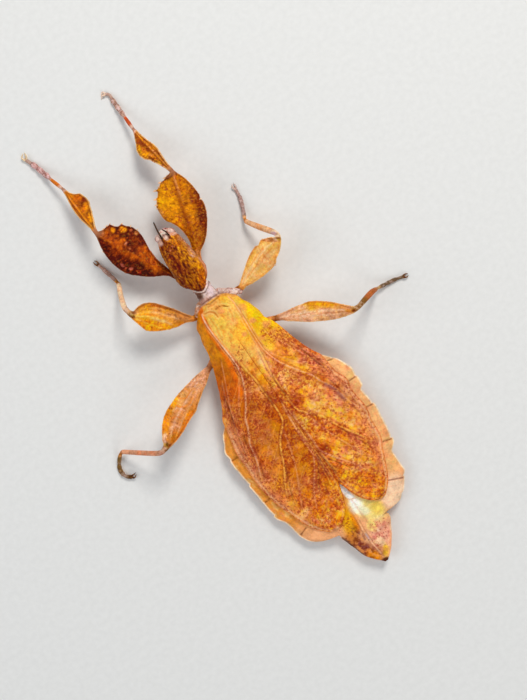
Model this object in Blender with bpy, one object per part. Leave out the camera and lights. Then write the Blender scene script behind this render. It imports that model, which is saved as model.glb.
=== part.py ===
"""Leaf insect, a still life-size model of an adult female.

The insect stands on a flat floor (z = 0) with its head toward +Y, its right
side toward +X and its back up.  All sizes below are millimetres and are turned
into metres by MM.  Positions are first given in a body frame whose origin is
on the floor below the joint between the prothorax and the big middle thorax,
and FRAME_SHIFT moves that frame so that the model's box is centred on the
world origin.
"""
import bpy
import bmesh
import math
from mathutils import Vector

MM = 0.001
FRAME_SHIFT = (1.1025, 9.147)       # body frame to world, mm

GAP = 0.32                      # clearance between neighbouring solids
SHEET = 0.55                    # thickness of the leaf-like plates
TEGMEN_DROP = 0.90              # back of the abdomen below the tegmen's top

# ---------------------------------------------------------------- the back
# Height of the dorsal midline and of the side margin along the body, and the
# half width over which the roof falls from the one to the other: (y, value).
ROOF_MID = [(3, 9.2), (0, 9.8), (-2, 10.4), (-8, 10.7), (-12.5, 10.3),
            (-20, 9.4), (-28, 8.5), (-36, 7.4), (-44, 6.3), (-50, 5.5),
            (-54, 5.0), (-58, 4.6), (-65, 3.6)]
ROOF_EDGE = [(3, 6.8), (-2, 6.6), (-8, 6.1), (-14, 5.5), (-20, 5.0),
             (-28, 4.6), (-36, 4.2), (-44, 3.7), (-52, 3.3), (-58, 3.1),
             (-65, 3.0)]
ROOF_HALF = [(3, 3.0), (-0.8, 3.6), (-4, 5.8), (-8, 7.4), (-12, 9.0),
             (-16, 10.2), (-20, 11.8), (-24, 13.9), (-28, 15.5), (-32, 15.7),
             (-40, 15.3), (-46, 14.6), (-52, 12.8), (-56, 9.5), (-60, 6.5),
             (-65, 4.0)]
ROOF_POWER = 1.6
RIDGE_X = 0.60                  # seam of the tegmina, a little to the right

# Lowest line of the belly.  Values below 0 are cut off by the floor, which
# leaves the long flat that the model rests on.
BELLY = [(-0.8, 4.4), (-3, 3.8), (-8, 3.6), (-12.5, 3.5), (-16, 3.0),
         (-22, 2.0), (-28, 1.2), (-34, 0.5), (-38.5, -0.15), (-47.5, -0.15),
         (-52, 0.4), (-56, 0.8), (-60, 1.1), (-64.2, 1.5)]
BELLY_REACH = 0.8               # part of the half width that is swollen

# Outline of the thorax: (y, left half width, right half width).
THORAX_OUTLINE = [(-0.85, 3.0, 3.1), (-2.0, 3.8, 4.3), (-3.2, 4.9, 5.1),
                  (-4.2, 5.5, 5.4), (-5.4, 5.6, 6.1), (-6.6, 6.0, 6.5),
                  (-7.95, 6.2, 6.9), (-8.0, 6.2, 6.9), (-10.2, 6.4, 7.0),
                  (-12.5, 6.1, 6.4)]

# Outline of the abdomen, with the small steps where one segment's margin ends
# and the next begins, and the two end lobes.
ABDOMEN_OUTLINE = [(-12.8, 6.1, 6.4), (-16.0, 7.7, 8.3), (-20.0, 9.8, 10.1),
                   (-22.4, 11.6, 12.3), (-23.9, 13.0, 13.6),
                   (-25.9, 14.2, 14.8), (-27.9, 15.3, 15.6),
                   (-29.3, 15.2, 15.4), (-31.7, 15.2, 15.4),
                   (-32.3, 15.2, 14.7), (-34.7, 15.0, 15.0),
                   (-37.1, 14.8, 15.1), (-39.1, 14.8, 15.0),
                   (-42.1, 14.6, 14.6), (-44.7, 14.1, 14.0),
                   (-46.3, 13.2, 12.8), (-50.6, 12.4, 12.8),
                   (-52.2, 11.4, 11.6), (-53.4, 9.9, 10.8),
                   (-54.1, 8.0, 10.3), (-54.5, 5.7, 9.6),
                   (-55.5, 5.6, 8.3), (-55.9, 5.5, 4.9), (-56.6, 5.3, 5.1),
                   (-58.8, 4.5, 4.1), (-61.1, 3.7, 2.7), (-62.6, 2.6, 1.5),
                   (-63.6, 1.5, 0.4), (-64.1, 1.0, -0.2)]

# Outline of the tegmina: (y, outer edge left, outer edge right, inner edge).
# The inner edge is measured from the seam.
TEGMEN_OUTLINE = [(-8.3, 6.0, 6.5, 0.15), (-10.2, 6.5, 7.5, 0.15),
                  (-12.0, 7.0, 8.4, 0.15), (-16.0, 8.6, 9.5, 0.15),
                  (-20.0, 10.5, 11.0, 0.15), (-22.2, 11.8, 12.1, 0.15),
                  (-26.0, 12.6, 12.6, 0.15), (-29.1, 13.2, 13.6, 0.15),
                  (-30.9, 13.2, 13.2, 0.15), (-35.6, 13.4, 13.6, 0.15),
                  (-38.5, 13.1, 13.0, 0.15), (-41.6, 12.6, 12.8, 0.15),
                  (-44.4, 11.6, 11.7, 0.15), (-46.0, 11.0, 11.0, 0.35),
                  (-49.4, 9.6, 9.5, 1.5), (-51.0, 8.5, 8.4, 2.6),
                  (-52.0, 7.4, 7.4, 3.7), (-52.5, 6.5, 6.6, 4.8)]
TEGMEN_ACROSS = (0.0, 0.08, 0.24, 0.44, 0.66, 0.86, 1.0)

# ---------------------------------------------------------------- head
# (y, half width, lowest z, highest z, x of the middle)
HEAD_PROFILE = [(2.65, 1.50, 5.7, 8.5, 0.15), (3.4, 2.05, 5.3, 9.2, 0.0),
                (4.6, 2.60, 5.0, 9.9, -0.1), (6.4, 2.82, 4.85, 10.35, -0.1),
                (8.6, 2.72, 4.8, 10.45, 0.0), (10.8, 2.62, 4.95, 10.2, 0.05),
                (12.4, 2.40, 5.3, 9.75, 0.05), (13.6, 2.05, 5.6, 9.25, 0.05),
                (14.6, 1.60, 5.95, 8.6, 0.1), (15.3, 1.15, 6.25, 8.0, 0.15),
                (15.8, 0.70, 6.55, 7.6, 0.2)]
EYE_RADIUS = 0.80
EYE_CENTRES = {"left": (-1.32, 14.62, 7.75), "right": (1.42, 14.55, 7.75)}
ANTENNA_RADIUS = 0.26
ANTENNAE = {"left": [(-0.62, 14.62, 8.95), (-0.50, 15.9, 9.15),
                     (-0.32, 17.0, 9.1), (-0.20, 17.8, 8.9)],
            "right": [(0.78, 14.62, 8.95), (0.66, 15.3, 9.6),
                      (0.46, 15.7, 10.2), (0.34, 15.9, 10.9)]}

# Prothorax: (y, half width, lowest z, highest z, x of the middle)
PROTHORAX_PROFILE = [(2.37, 1.75, 5.25, 8.7, 0.25), (1.9, 1.95, 5.2, 9.2, 0.25),
                     (0.9, 1.80, 5.15, 9.4, 0.2), (-0.57, 1.60, 5.2, 9.6, 0.1)]

# ---------------------------------------------------------------- legs
# Every femur and front tibia is a shaft with a leaf-like lobe on each side.
# A lobe is given by (place along the shaft, width): "left" and "right" are as
# seen from above, looking along the shaft away from the body.
FEMORA = {
    "leg_front_left": dict(
        base=(-3.46, 7.07, 4.4), knee=(-10.78, 22.12, 7.5), start=0.0,
        end=0.970,
        left=[(0, .65), (.074, .72), (.144, 1.26), (.245, 2.23),
              (.349, 3.10), (.435, 3.69), (.516, 4.01), (.611, 3.89),
              (.698, 3.60), (.781, 3.04), (.853, 2.40), (.916, 1.64),
              (.985, .62), (1, .5)],
        right=[(0, .65), (.06, .65), (.113, .80), (.197, 1.20), (.275, 1.60),
               (.396, 2.45), (.480, 3.43), (.559, 4.25), (.624, 4.63),
               (.692, 4.76), (.727, 4.63), (.770, 4.34), (.828, 4.22),
               (.836, 3.58), (.876, 3.20), (.915, 3.10), (.944, 3.05),
               (.949, 2.45), (.972, 2.40), (.976, 1.81), (.998, 1.50),
               (1, .8)]),
    "leg_front_right": dict(
        base=(3.00, 6.55, 4.75), knee=(8.23, 23.53, 7.5), start=0.0,
        end=0.972,
        left=[(0, .75), (.117, .84), (.224, 1.04), (.309, 1.36), (.373, 1.82),
              (.439, 2.44), (.501, 3.51), (.526, 4.30), (.577, 4.80),
              (.64, 5.14), (.70, 5.40), (.735, 5.15), (.775, 4.85),
              (.790, 5.17), (.797, 4.55), (.86, 4.06), (.878, 4.61),
              (.886, 3.95), (.925, 3.20), (.945, 3.10), (.952, 2.50),
              (.962, 2.10), (.984, 2.15), (.988, 1.45), (1, .9)],
        right=[(0, .75), (.124, 1.03), (.191, 1.82), (.271, 2.59),
               (.342, 3.16), (.415, 3.61), (.489, 3.93), (.556, 4.02),
               (.619, 3.96), (.648, 3.55), (.696, 3.65), (.778, 3.16),
               (.849, 2.56), (.915, 1.93), (.965, 1.20), (1, .5)]),
    "leg_middle_left": dict(
        base=(-4.53, -2.27, 4.25), knee=(-14.15, 5.54, 8.5), start=0.06,
        end=0.955,
        left=[(0, .6), (.093, .6), (.167, .84), (.27, 1.73), (.39, 2.42),
              (.541, 2.84), (.663, 3.05), (.755, 3.02), (.837, 2.02),
              (.917, 1.2), (.981, .57), (1, .5)],
        right=[(0, .6), (.05, .6), (.178, 1.03), (.337, 1.78), (.495, 2.33),
               (.65, 2.77), (.741, 2.78), (.83, 2.31), (.902, 1.47),
               (.959, .82), (1, .5)]),
    "leg_middle_right": dict(
        base=(5.98, -2.40, 4.4), knee=(18.23, 1.72, 8.5), start=0.04,
        end=0.955,
        left=[(0, .6), (.098, .92), (.232, 1.57), (.352, 2.09), (.476, 2.53),
              (.576, 2.74), (.657, 2.78), (.711, 2.32), (.789, 2.58),
              (.833, 2.28), (.913, 1.35), (.979, .53), (1, .5)],
        right=[(0, .6), (.105, .6), (.185, 1.21), (.289, 1.7), (.392, 2.18),
               (.508, 2.54), (.571, 2.67), (.646, 2.68), (.727, 2.15),
               (.837, 1.80), (.917, 1.27), (1, .48)]),
    "leg_hind_left": dict(
        base=(-7.54, -11.44, 3.3), knee=(-23.12, -19.69, 10.0), start=0.04,
        end=0.96,
        left=[(0, .55), (.059, .56), (.127, .78), (.204, 1.08), (.277, 1.12),
              (.356, 1.33), (.436, 1.55), (.513, 1.86), (.604, 1.63),
              (.666, 1.58), (.752, 1.53), (.828, 1.40), (.895, 1.18),
              (.966, .77), (1, .55)],
        right=[(0, .55), (.036, .65), (.109, 1.19), (.203, 1.85),
               (.305, 2.41), (.393, 2.89), (.475, 3.19), (.567, 3.40),
               (.643, 3.53), (.724, 3.39), (.807, 2.90), (.873, 2.25),
               (.945, 1.42), (.991, .62), (1, .55)]),
    "leg_hind_right": dict(
        base=(8.26, -10.92, 3.3), knee=(22.66, -18.14, 12.0), start=0.015,
        end=0.96,
        left=[(0, .55), (.084, .93), (.174, 1.35), (.277, 1.94), (.354, 2.27),
              (.442, 2.68), (.526, 2.60), (.608, 2.43), (.701, 2.05),
              (.791, 1.57), (.87, 1.12), (.959, .65), (1, .55)],
        right=[(0, .5), (.108, .51), (.192, .86), (.312, 1.19), (.432, 1.48),
               (.552, 1.55), (.671, 1.58), (.791, 1.42), (.911, .98),
               (.984, .54), (1, .5)]),
}
FRONT_TIBIAE = {
    "leg_front_left": dict(
        base=(-10.75, 22.33, 7.5), knee=(-11.82, 33.92, 3.0),
        left=[(0, .42), (.131, .45), (.277, .71), (.397, .97), (.546, 1.0),
              (.678, .92), (.877, .52), (1, .36)],
        right=[(0, .42), (.093, .55), (.226, 1.19), (.34, 1.78), (.44, 2.26),
               (.547, 2.67), (.638, 2.67), (.746, 2.30), (.811, 1.28),
               (.892, .66), (.969, .38), (1, .36)]),
    "leg_front_right": dict(
        base=(8.34, 23.69, 7.5), knee=(6.50, 35.45, 3.0),
        left=[(0, .42), (.122, .60), (.22, .92), (.312, 1.30), (.424, 1.76),
              (.51, 2.50), (.617, 2.76), (.718, 2.53), (.769, 1.99),
              (.871, 1.20), (.981, .48), (1, .38)],
        right=[(0, .42), (.136, .42), (.259, .58), (.383, .80), (.484, 1.04),
               (.584, 1.01), (.709, .67), (.848, .48), (1, .36)]),
}
# Round pieces: a path of points with the radius at each, (x, y, z, radius).
COXAE = {
    "leg_front_left": [(-0.75, 1.9, 3.90, .60), (-1.15, 3.3, 3.95, .80),
                       (-2.05, 5.0, 4.05, .88), (-3.10, 6.4, 4.25, .72)],
    "leg_front_right": [(0.90, 1.5, 3.90, .60), (1.20, 2.9, 3.95, .85),
                        (1.95, 4.6, 4.10, .92), (2.70, 5.85, 4.45, .80)],
    "leg_middle_left": [(-2.65, -0.9, 4.25, .60), (-3.6, -1.6, 4.05, .80),
                        (-4.25, -1.95, 4.05, .64)],
    "leg_middle_right": [(2.75, 0.10, 4.35, .60), (4.20, -0.85, 4.20, .80),
                         (5.30, -1.98, 4.25, .66)],
    "leg_hind_left": [(-4.9, -10.2, 3.05, .70), (-6.2, -10.8, 3.1, .80),
                      (-7.75, -11.6, 3.25, .66)],
    "leg_hind_right": [(5.1, -10.0, 3.05, .70), (6.5, -10.4, 3.1, .80),
                       (7.95, -10.8, 3.2, .66)],
}
TIBIAE = {
    "leg_middle_left": [(-14.32, 6.35, 8.05, .50), (-14.6, 7.6, 7.0, .52),
                        (-14.3, 10.2, 4.2, .50), (-13.68, 12.5, 1.85, .46)],
    "leg_middle_right": [(18.15, 2.6, 7.95, .50), (17.3, 3.9, 6.85, .54),
                         (15.9, 6.0, 4.3, .50), (14.5, 8.3, 1.85, .46)],
    "leg_hind_left": [(-23.85, -19.9, 9.65, .50), (-25.2, -19.8, 8.8, .54),
                      (-28.7, -18.0, 5.6, .56), (-32.6, -15.85, 1.85, .46)],
    "leg_hind_right": [(23.4, -17.95, 11.3, .48), (25.2, -17.6, 9.2, .50),
                       (27.1, -17.4, 5.2, .50), (28.2, -17.55, 1.95, .44)],
}
# The end of each tarsus lies on the floor and curls up a little in its claws.
TARSI = {
    "leg_front_left": [(-11.95, 34.3, 2.85, .30), (-12.9, 37.2, 1.9, .34),
                       (-13.3, 38.6, 1.3, .48), (-14.1, 41.1, .55, .46),
                       (-14.5, 42.3, .42, .44), (-15.2, 43.9, .36, .34),
                       (-15.95, 44.9, .34, .30), (-15.1, 45.55, .34, .28),
                       (-14.45, 45.1, .34, .26)],
    "leg_front_right": [(6.43, 35.85, 2.85, .30), (6.35, 38.6, 1.9, .33),
                        (6.3, 39.9, 1.35, .46), (6.2, 42.2, .6, .46),
                        (6.2, 43.5, .42, .44), (6.25, 44.8, .38, .36),
                        (5.2, 45.45, .34, .30), (4.45, 45.1, .34, .26)],
    "leg_middle_left": [(-13.8, 13.05, 1.45, .32), (-14.1, 14.4, .95, .36),
                        (-14.5, 15.6, .5, .40), (-14.8, 16.9, .38, .42),
                        (-15.1, 18.1, .36, .34)],
    "leg_middle_right": [(14.6, 8.85, 1.45, .32), (15.2, 10.2, .95, .36),
                         (15.9, 11.9, .5, .40), (16.3, 13.4, .38, .42),
                         (16.45, 14.9, .36, .34)],
    "leg_hind_left": [(-33.3, -15.95, 1.4, .34), (-34.3, -16.8, .85, .38),
                      (-35.5, -18.1, .45, .42), (-36.1, -19.4, .4, .42),
                      (-35.6, -20.8, .38, .40), (-34.4, -21.4, .38, .38),
                      (-33.6, -21.3, .36, .30)],
    "leg_hind_right": [(28.75, -17.6, 1.4, .30), (30.2, -17.8, .85, .36),
                       (31.5, -18.0, .45, .38), (32.8, -18.2, .38, .40),
                       (34.2, -18.6, .36, .32)],
}

COLOURS = {
    "head": (0.42, 0.16, 0.03), "prothorax": (0.45, 0.30, 0.24),
    "thorax": (0.82, 0.42, 0.08), "abdomen": (0.80, 0.38, 0.12),
    "tegmen": (0.78, 0.30, 0.05), "eye": (0.66, 0.47, 0.40),
    "antenna": (0.06, 0.03, 0.02), "coxa": (0.60, 0.25, 0.05),
    "front_left": (0.24, 0.06, 0.02), "front_right": (0.62, 0.28, 0.03),
    "pale_leg": (0.74, 0.38, 0.14), "tibia": (0.72, 0.36, 0.20),
    "tarsus": (0.52, 0.33, 0.27),
}


def smooth(table, x):
    """Value of a table at x on a monotone cubic through its points."""
    pts = sorted(table)
    if x <= pts[0][0]:
        return pts[0][1]
    if x >= pts[-1][0]:
        return pts[-1][1]
    n = len(pts)
    slope = [(pts[i + 1][1] - pts[i][1]) / (pts[i + 1][0] - pts[i][0])
             for i in range(n - 1)]
    k = max(i for i in range(n - 1) if pts[i][0] <= x)

    def tangent(i):
        if i == 0 or i == n - 1:
            return slope[min(i, n - 2)]
        if slope[i - 1] * slope[i] <= 0:
            return 0.0
        return 2 * slope[i - 1] * slope[i] / (slope[i - 1] + slope[i])

    h = pts[k + 1][0] - pts[k][0]
    t = (x - pts[k][0]) / h
    return ((2 * t ** 3 - 3 * t ** 2 + 1) * pts[k][1]
            + (t ** 3 - 2 * t ** 2 + t) * h * tangent(k)
            + (-2 * t ** 3 + 3 * t ** 2) * pts[k + 1][1]
            + (t ** 3 - t ** 2) * h * tangent(k + 1))


def straight(table, x):
    """Value of a table at x on straight lines between its points."""
    if x <= table[0][0]:
        return table[0][1]
    for (x0, v0), (x1, v1) in zip(table, table[1:]):
        if x <= x1:
            return v0 + (v1 - v0) * (x - x0) / max(x1 - x0, 1e-9)
    return table[-1][1]


def roof(x, y):
    """Height of the top of the back, tegmina included."""
    s = min(abs(x) / smooth(ROOF_HALF, y), 1.0)
    edge = smooth(ROOF_EDGE, y)
    return edge + (smooth(ROOF_MID, y) - edge) * (1 - s ** ROOF_POWER)


def underside(x, y, half):
    """Height of the belly: thin at the margins, swollen in the middle."""
    s = abs(x) / max(half, 0.2)
    rim = smooth(ROOF_EDGE, y) - TEGMEN_DROP - SHEET
    swell = max(0.0, 1 - (s / BELLY_REACH) ** 2) ** 1.5
    return max(0.0, rim - (rim - smooth(BELLY, y)) * swell)


def material(name, colour, roughness=0.55):
    mat = bpy.data.materials.new(name)
    mat.use_nodes = True
    bsdf = mat.node_tree.nodes["Principled BSDF"]
    bsdf.inputs["Base Color"].default_value = (*colour, 1)
    bsdf.inputs["Roughness"].default_value = roughness
    bsdf.inputs["Metallic"].default_value = 0.0
    return mat


def add_object(name, bm, anchor, colour, roughness=0.55):
    """Turn a closed bmesh (mm, body frame) into an object placed at anchor."""
    bmesh.ops.recalc_face_normals(bm, faces=bm.faces)
    anchor = Vector(anchor)
    for v in bm.verts:
        v.co = (v.co - anchor) * MM
    mesh = bpy.data.meshes.new(name)
    bm.to_mesh(mesh)
    bm.free()
    mesh.shade_smooth()
    mesh.set_sharp_from_angle(angle=math.radians(40))
    mesh.materials.append(material(name + "_surface", colour, roughness))
    obj = bpy.data.objects.new(name, mesh)
    bpy.context.scene.collection.objects.link(obj)
    obj.parent = stand_point
    obj.location = anchor * MM
    return obj


def loft(rings):
    """Closed skin over rings that all have the same number of points."""
    bm = bmesh.new()
    rows = [[bm.verts.new(p) for p in ring] for ring in rings]
    n = len(rows[0])
    for a, b in zip(rows, rows[1:]):
        for i in range(n):
            j = (i + 1) % n
            bm.faces.new((a[i], a[j], b[j], b[i]))
    bm.faces.new(list(reversed(rows[0])))
    bm.faces.new(rows[-1])
    bmesh.ops.triangulate(bm, faces=[f for f in bm.faces if len(f.verts) > 4])
    return bm


def merged(*tables):
    """Every station used by any of the tables, in order."""
    xs = sorted({round(x, 4) for t in tables for x, _ in t})
    return xs


def blade(base, tip, left, right, start, end, shaft, rim=SHEET * 0.5):
    """Shaft with a thin lobe on each side, from base to tip."""
    base, tip = Vector(base), Vector(tip)
    along = (tip - base).normalized()
    side = Vector((-along.y, along.x, 0)).normalized()
    up = along.cross(side) * -1
    if up.z < 0:
        up = -up
    rings = []
    for t in [s for s in merged(left, right, [(start, 0), (end, 0)])
              if start <= s <= end]:
        c = base.lerp(tip, t)
        wl, wr = straight(left, t), straight(right, t)
        h = straight(shaft, t)
        q = 0.5                                  # half width of the shaft
        pl = (min(q, wl * 0.8), wl)
        pr = (min(q, wr * 0.8), wr)
        outline = [(pl[1], rim), (pl[0], h * .8), (0, h), (-pr[0], h * .8),
                   (-pr[1], rim), (-pr[1], -rim), (-pr[0], -h * .8), (0, -h),
                   (pl[0], -h * .8), (pl[1], -rim)]
        rings.append([c + side * a + up * b for a, b in outline])
    return loft(rings)


def tube(path, sides=8, floor=True):
    """Round piece along a path of (x, y, z, radius)."""
    pts = [Vector(p[:3]) for p in path]
    rings = []
    for i, p in enumerate(pts):
        a = pts[max(i - 1, 0)]
        b = pts[min(i + 1, len(pts) - 1)]
        along = (b - a).normalized()
        side = Vector((-along.y, along.x, 0)).normalized()
        up = side.cross(along)
        if up.z < 0:
            up = -up
        ring = []
        for k in range(sides):
            ang = 2 * math.pi * (k + 0.5) / sides
            q = p + (side * math.cos(ang) + up * math.sin(ang)) * path[i][3]
            if floor:
                q.z = max(q.z, 0.0)
            ring.append(q)
        rings.append(ring)
    return loft(rings)


def lens_ring(y, half, low, high, mid, sides=16, power=2.15):
    """Rounded cross-section standing across the body at y."""
    ring = []
    for k in range(sides):
        ang = 2 * math.pi * (k + 0.5) / sides
        ca, sa = math.cos(ang), math.sin(ang)
        r = (abs(ca) ** power + abs(sa) ** power) ** (-1 / power)
        ring.append((mid + half * r * ca, y,
                     (low + high) / 2 + (high - low) / 2 * r * sa))
    return ring


# ------------------------------------------------------------------ scene
for old in list(bpy.data.objects):
    bpy.data.objects.remove(old, do_unlink=True)

stand_point = bpy.data.objects.new("stand_point", None)
bpy.context.scene.collection.objects.link(stand_point)
stand_point.location = (FRAME_SHIFT[0] * MM, FRAME_SHIFT[1] * MM, 0)

# Head, with a round socket for each eye.
head = add_object("head", loft([lens_ring(*row[:4], row[4])
                                for row in HEAD_PROFILE]),
                  (0, 2.65, 7.0), COLOURS["head"])
for side, centre in EYE_CENTRES.items():
    bm = bmesh.new()
    bmesh.ops.create_uvsphere(bm, u_segments=14, v_segments=9,
                              radius=EYE_RADIUS)
    bmesh.ops.translate(bm, verts=bm.verts, vec=Vector(centre))
    add_object("eye_" + side, bm, centre, COLOURS["eye"], 0.25)
    bm = bmesh.new()
    bmesh.ops.create_uvsphere(bm, u_segments=14, v_segments=9,
                              radius=EYE_RADIUS + GAP)
    bmesh.ops.translate(bm, verts=bm.verts, vec=Vector(centre))
    socket = add_object("eye_socket_cutter_" + side, bm, centre,
                        COLOURS["eye"])
    socket.hide_render = True
    socket.display_type = 'WIRE'
    cut = head.modifiers.new("socket_" + side, 'BOOLEAN')
    cut.operation = 'DIFFERENCE'
    cut.object = socket
    cut.solver = 'EXACT'
for side, path in ANTENNAE.items():
    add_object("antenna_" + side,
               tube([(*p, ANTENNA_RADIUS) for p in path], sides=6),
               path[0], COLOURS["antenna"], 0.4)

add_object("prothorax", loft([lens_ring(*row[:4], row[4], sides=14)
                              for row in PROTHORAX_PROFILE]),
           (0, 2.37, 7.0), COLOURS["prothorax"])

# Thorax: one closed piece whose back steps down under the tegmina.
TOP_S = (-1.0, -0.8, -0.55, -0.3, -0.12, 0.0, 0.12, 0.3, 0.55, 0.8, 1.0)
LOW_S = (1.0, 0.78, 0.6, 0.4, 0.22, 0.1, -0.1, -0.22, -0.4, -0.6, -0.78,
         -1.0)


def body_ring(y, left, right, drop):
    ring = []
    for s in TOP_S:
        x = s * (right if s > 0 else left)
        ring.append((x, y, roof(x, y) - drop))
    for s in LOW_S:
        half = right if s > 0 else left
        ring.append((s * half, y, underside(s * half, y, half)))
    return ring


add_object("thorax",
           loft([body_ring(y, a, b, 0.0 if y > -7.97 else TEGMEN_DROP)
                 for y, a, b in THORAX_OUTLINE]),
           (0, -0.85, 6.0), COLOURS["thorax"])


def tail_ring(y, left, right):
    """Ring of the abdomen: its middle follows the outline at the very tip."""
    mid = (right - left) / 2
    half = (right + left) / 2
    if y > -56.0:
        return body_ring(y, left, right, TEGMEN_DROP)
    ring = []
    for s in TOP_S:
        x = mid + s * half
        ring.append((x, y, roof(s * half, y) - TEGMEN_DROP))
    for s in LOW_S:
        ring.append((mid + s * half, y, underside(s * half, y, half)))
    return ring


add_object("abdomen", loft([tail_ring(*row) for row in ABDOMEN_OUTLINE]),
           (0, -12.8, 5.0), COLOURS["abdomen"])


def tegmen(sign):
    rings = []
    for y, left, right, inner in TEGMEN_OUTLINE:
        outer = right if sign > 0 else -left
        inside = RIDGE_X + sign * inner
        xs = [inside + (outer - inside) * u for u in TEGMEN_ACROSS]
        top = [(x, y, roof(x, y)) for x in xs]
        low = [(x, y, roof(x, y) - TEGMEN_DROP + GAP) for x in reversed(xs)]
        rings.append(top + low)
    return loft(rings)


for side, sign in (("left", -1), ("right", 1)):
    add_object("tegmen_" + side, tegmen(sign), (sign, -8.3, 10.0),
               COLOURS["tegmen"], 0.45)

FEMUR_SHAFT = [(0, .52), (.2, .62), (.7, .6), (.93, .52), (1, .42)]
TIBIA_SHAFT = [(0, .42), (.5, .45), (1, .36)]
for leg, f in FEMORA.items():
    tone = {"leg_front_left": "front_left",
            "leg_front_right": "front_right"}.get(leg, "pale_leg")
    add_object(leg + "_coxa", tube(COXAE[leg]), COXAE[leg][0][:3],
               COLOURS["coxa"])
    add_object(leg + "_femur",
               blade(f["base"], f["knee"], f["left"], f["right"], f["start"],
                     f["end"], FEMUR_SHAFT), f["base"], COLOURS[tone])
    if leg in FRONT_TIBIAE:
        t = FRONT_TIBIAE[leg]
        bm = blade(t["base"], t["knee"], t["left"], t["right"],
                   0.035, 1.0, TIBIA_SHAFT)
        add_object(leg + "_tibia", bm, t["base"], COLOURS["tibia"])
    else:
        add_object(leg + "_tibia", tube(TIBIAE[leg]), TIBIAE[leg][0][:3],
                   COLOURS["tibia"])
    add_object(leg + "_tarsus", tube(TARSI[leg]), TARSI[leg][0][:3],
               COLOURS["tarsus"])
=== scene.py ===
"""Leaf insect: finished surfaces of a life-size model of an adult female.

One skin covers the head, the body and the six legs.  The two leaf-like
tegmina, the eyes, the antennae and the claws are pieces of their own.  All
shapes are worked out in millimetres in the body frame (origin on the floor
below the joint of prothorax and thorax, +Y to the head, +X to the insect's
right, +Z up) and moved into the shared frame at the end.
"""
import math

import bpy
import bmesh
import numpy as np
from mathutils import Matrix, Vector


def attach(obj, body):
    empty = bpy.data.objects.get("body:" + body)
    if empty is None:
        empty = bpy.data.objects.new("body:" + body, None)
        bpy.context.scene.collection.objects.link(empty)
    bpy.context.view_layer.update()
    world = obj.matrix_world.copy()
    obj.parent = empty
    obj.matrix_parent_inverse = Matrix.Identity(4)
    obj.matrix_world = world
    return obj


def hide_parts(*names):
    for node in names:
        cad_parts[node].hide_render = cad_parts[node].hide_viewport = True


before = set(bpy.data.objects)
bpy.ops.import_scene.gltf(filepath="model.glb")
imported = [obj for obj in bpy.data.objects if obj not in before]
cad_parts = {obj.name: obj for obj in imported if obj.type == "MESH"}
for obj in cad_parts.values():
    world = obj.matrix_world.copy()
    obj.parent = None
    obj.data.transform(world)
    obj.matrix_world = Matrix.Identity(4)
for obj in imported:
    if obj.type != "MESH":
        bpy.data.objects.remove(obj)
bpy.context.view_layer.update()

MM = 0.001
SHIFT = np.array([1.1025, 9.147, 0.0])      # body frame to shared frame, mm

# ------------------------------------------------------------ camera facts
FOCAL = 1000.0                              # in pixels of a 527 x 700 frame
CENTRE = (263.5, 350.0)
LOOK_AT = np.array([3.3, -14.7, 8.0])
DISTANCE = 195.0
LEAN_RIGHT, LEAN_FRONT = 4.0, 2.0           # degrees away from straight down


def unit(v):
    return v / np.linalg.norm(v)


cam_back = unit(np.array([math.tan(math.radians(LEAN_RIGHT)),
                          math.tan(math.radians(LEAN_FRONT)), 1.0]))
cam_right = np.array([0.826, -0.564, 0.0])
cam_right = unit(cam_right - cam_right.dot(cam_back) * cam_back)
cam_up = np.cross(cam_back, cam_right)
cam_at = LOOK_AT + DISTANCE * cam_back


def picture(p):
    """Place of body-frame points in the 527 x 700 frame, as (n, 2)."""
    d = np.asarray(p, float) - cam_at
    depth = -d @ cam_back
    return np.stack([CENTRE[0] + FOCAL * (d @ cam_right) / depth,
                     CENTRE[1] - FOCAL * (d @ cam_up) / depth], -1)


# ------------------------------------------------------------ body tables
TEGMEN_DROP = 0.90
SHEET = 0.55
RIDGE_X = 0.60
ROOF_MID = [(3, 9.2), (0, 9.8), (-2, 10.4), (-8, 10.7), (-12.5, 10.3),
            (-20, 9.4), (-28, 8.5), (-36, 7.4), (-44, 6.3), (-50, 5.5),
            (-54, 5.0), (-58, 4.6), (-65, 3.6)]
ROOF_EDGE = [(3, 6.8), (-2, 6.6), (-8, 6.1), (-14, 5.5), (-20, 5.0),
             (-28, 4.6), (-36, 4.2), (-44, 3.7), (-52, 3.3), (-58, 3.1),
             (-65, 3.0)]
ROOF_HALF = [(3, 3.0), (-0.8, 3.6), (-4, 5.8), (-8, 7.4), (-12, 9.0),
             (-16, 10.2), (-20, 11.8), (-24, 13.9), (-28, 15.5), (-32, 15.7),
             (-40, 15.3), (-46, 14.6), (-52, 12.8), (-56, 9.5), (-60, 6.5),
             (-65, 4.0)]
ROOF_POWER = 1.6
BELLY = [(-0.8, 4.4), (-3, 3.8), (-8, 3.6), (-12.5, 3.5), (-16, 3.0),
         (-22, 2.0), (-28, 1.2), (-34, 0.5), (-38.5, -0.15), (-47.5, -0.15),
         (-52, 0.4), (-56, 0.8), (-60, 1.1), (-64.2, 1.5)]
BELLY_REACH = 0.8

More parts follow.
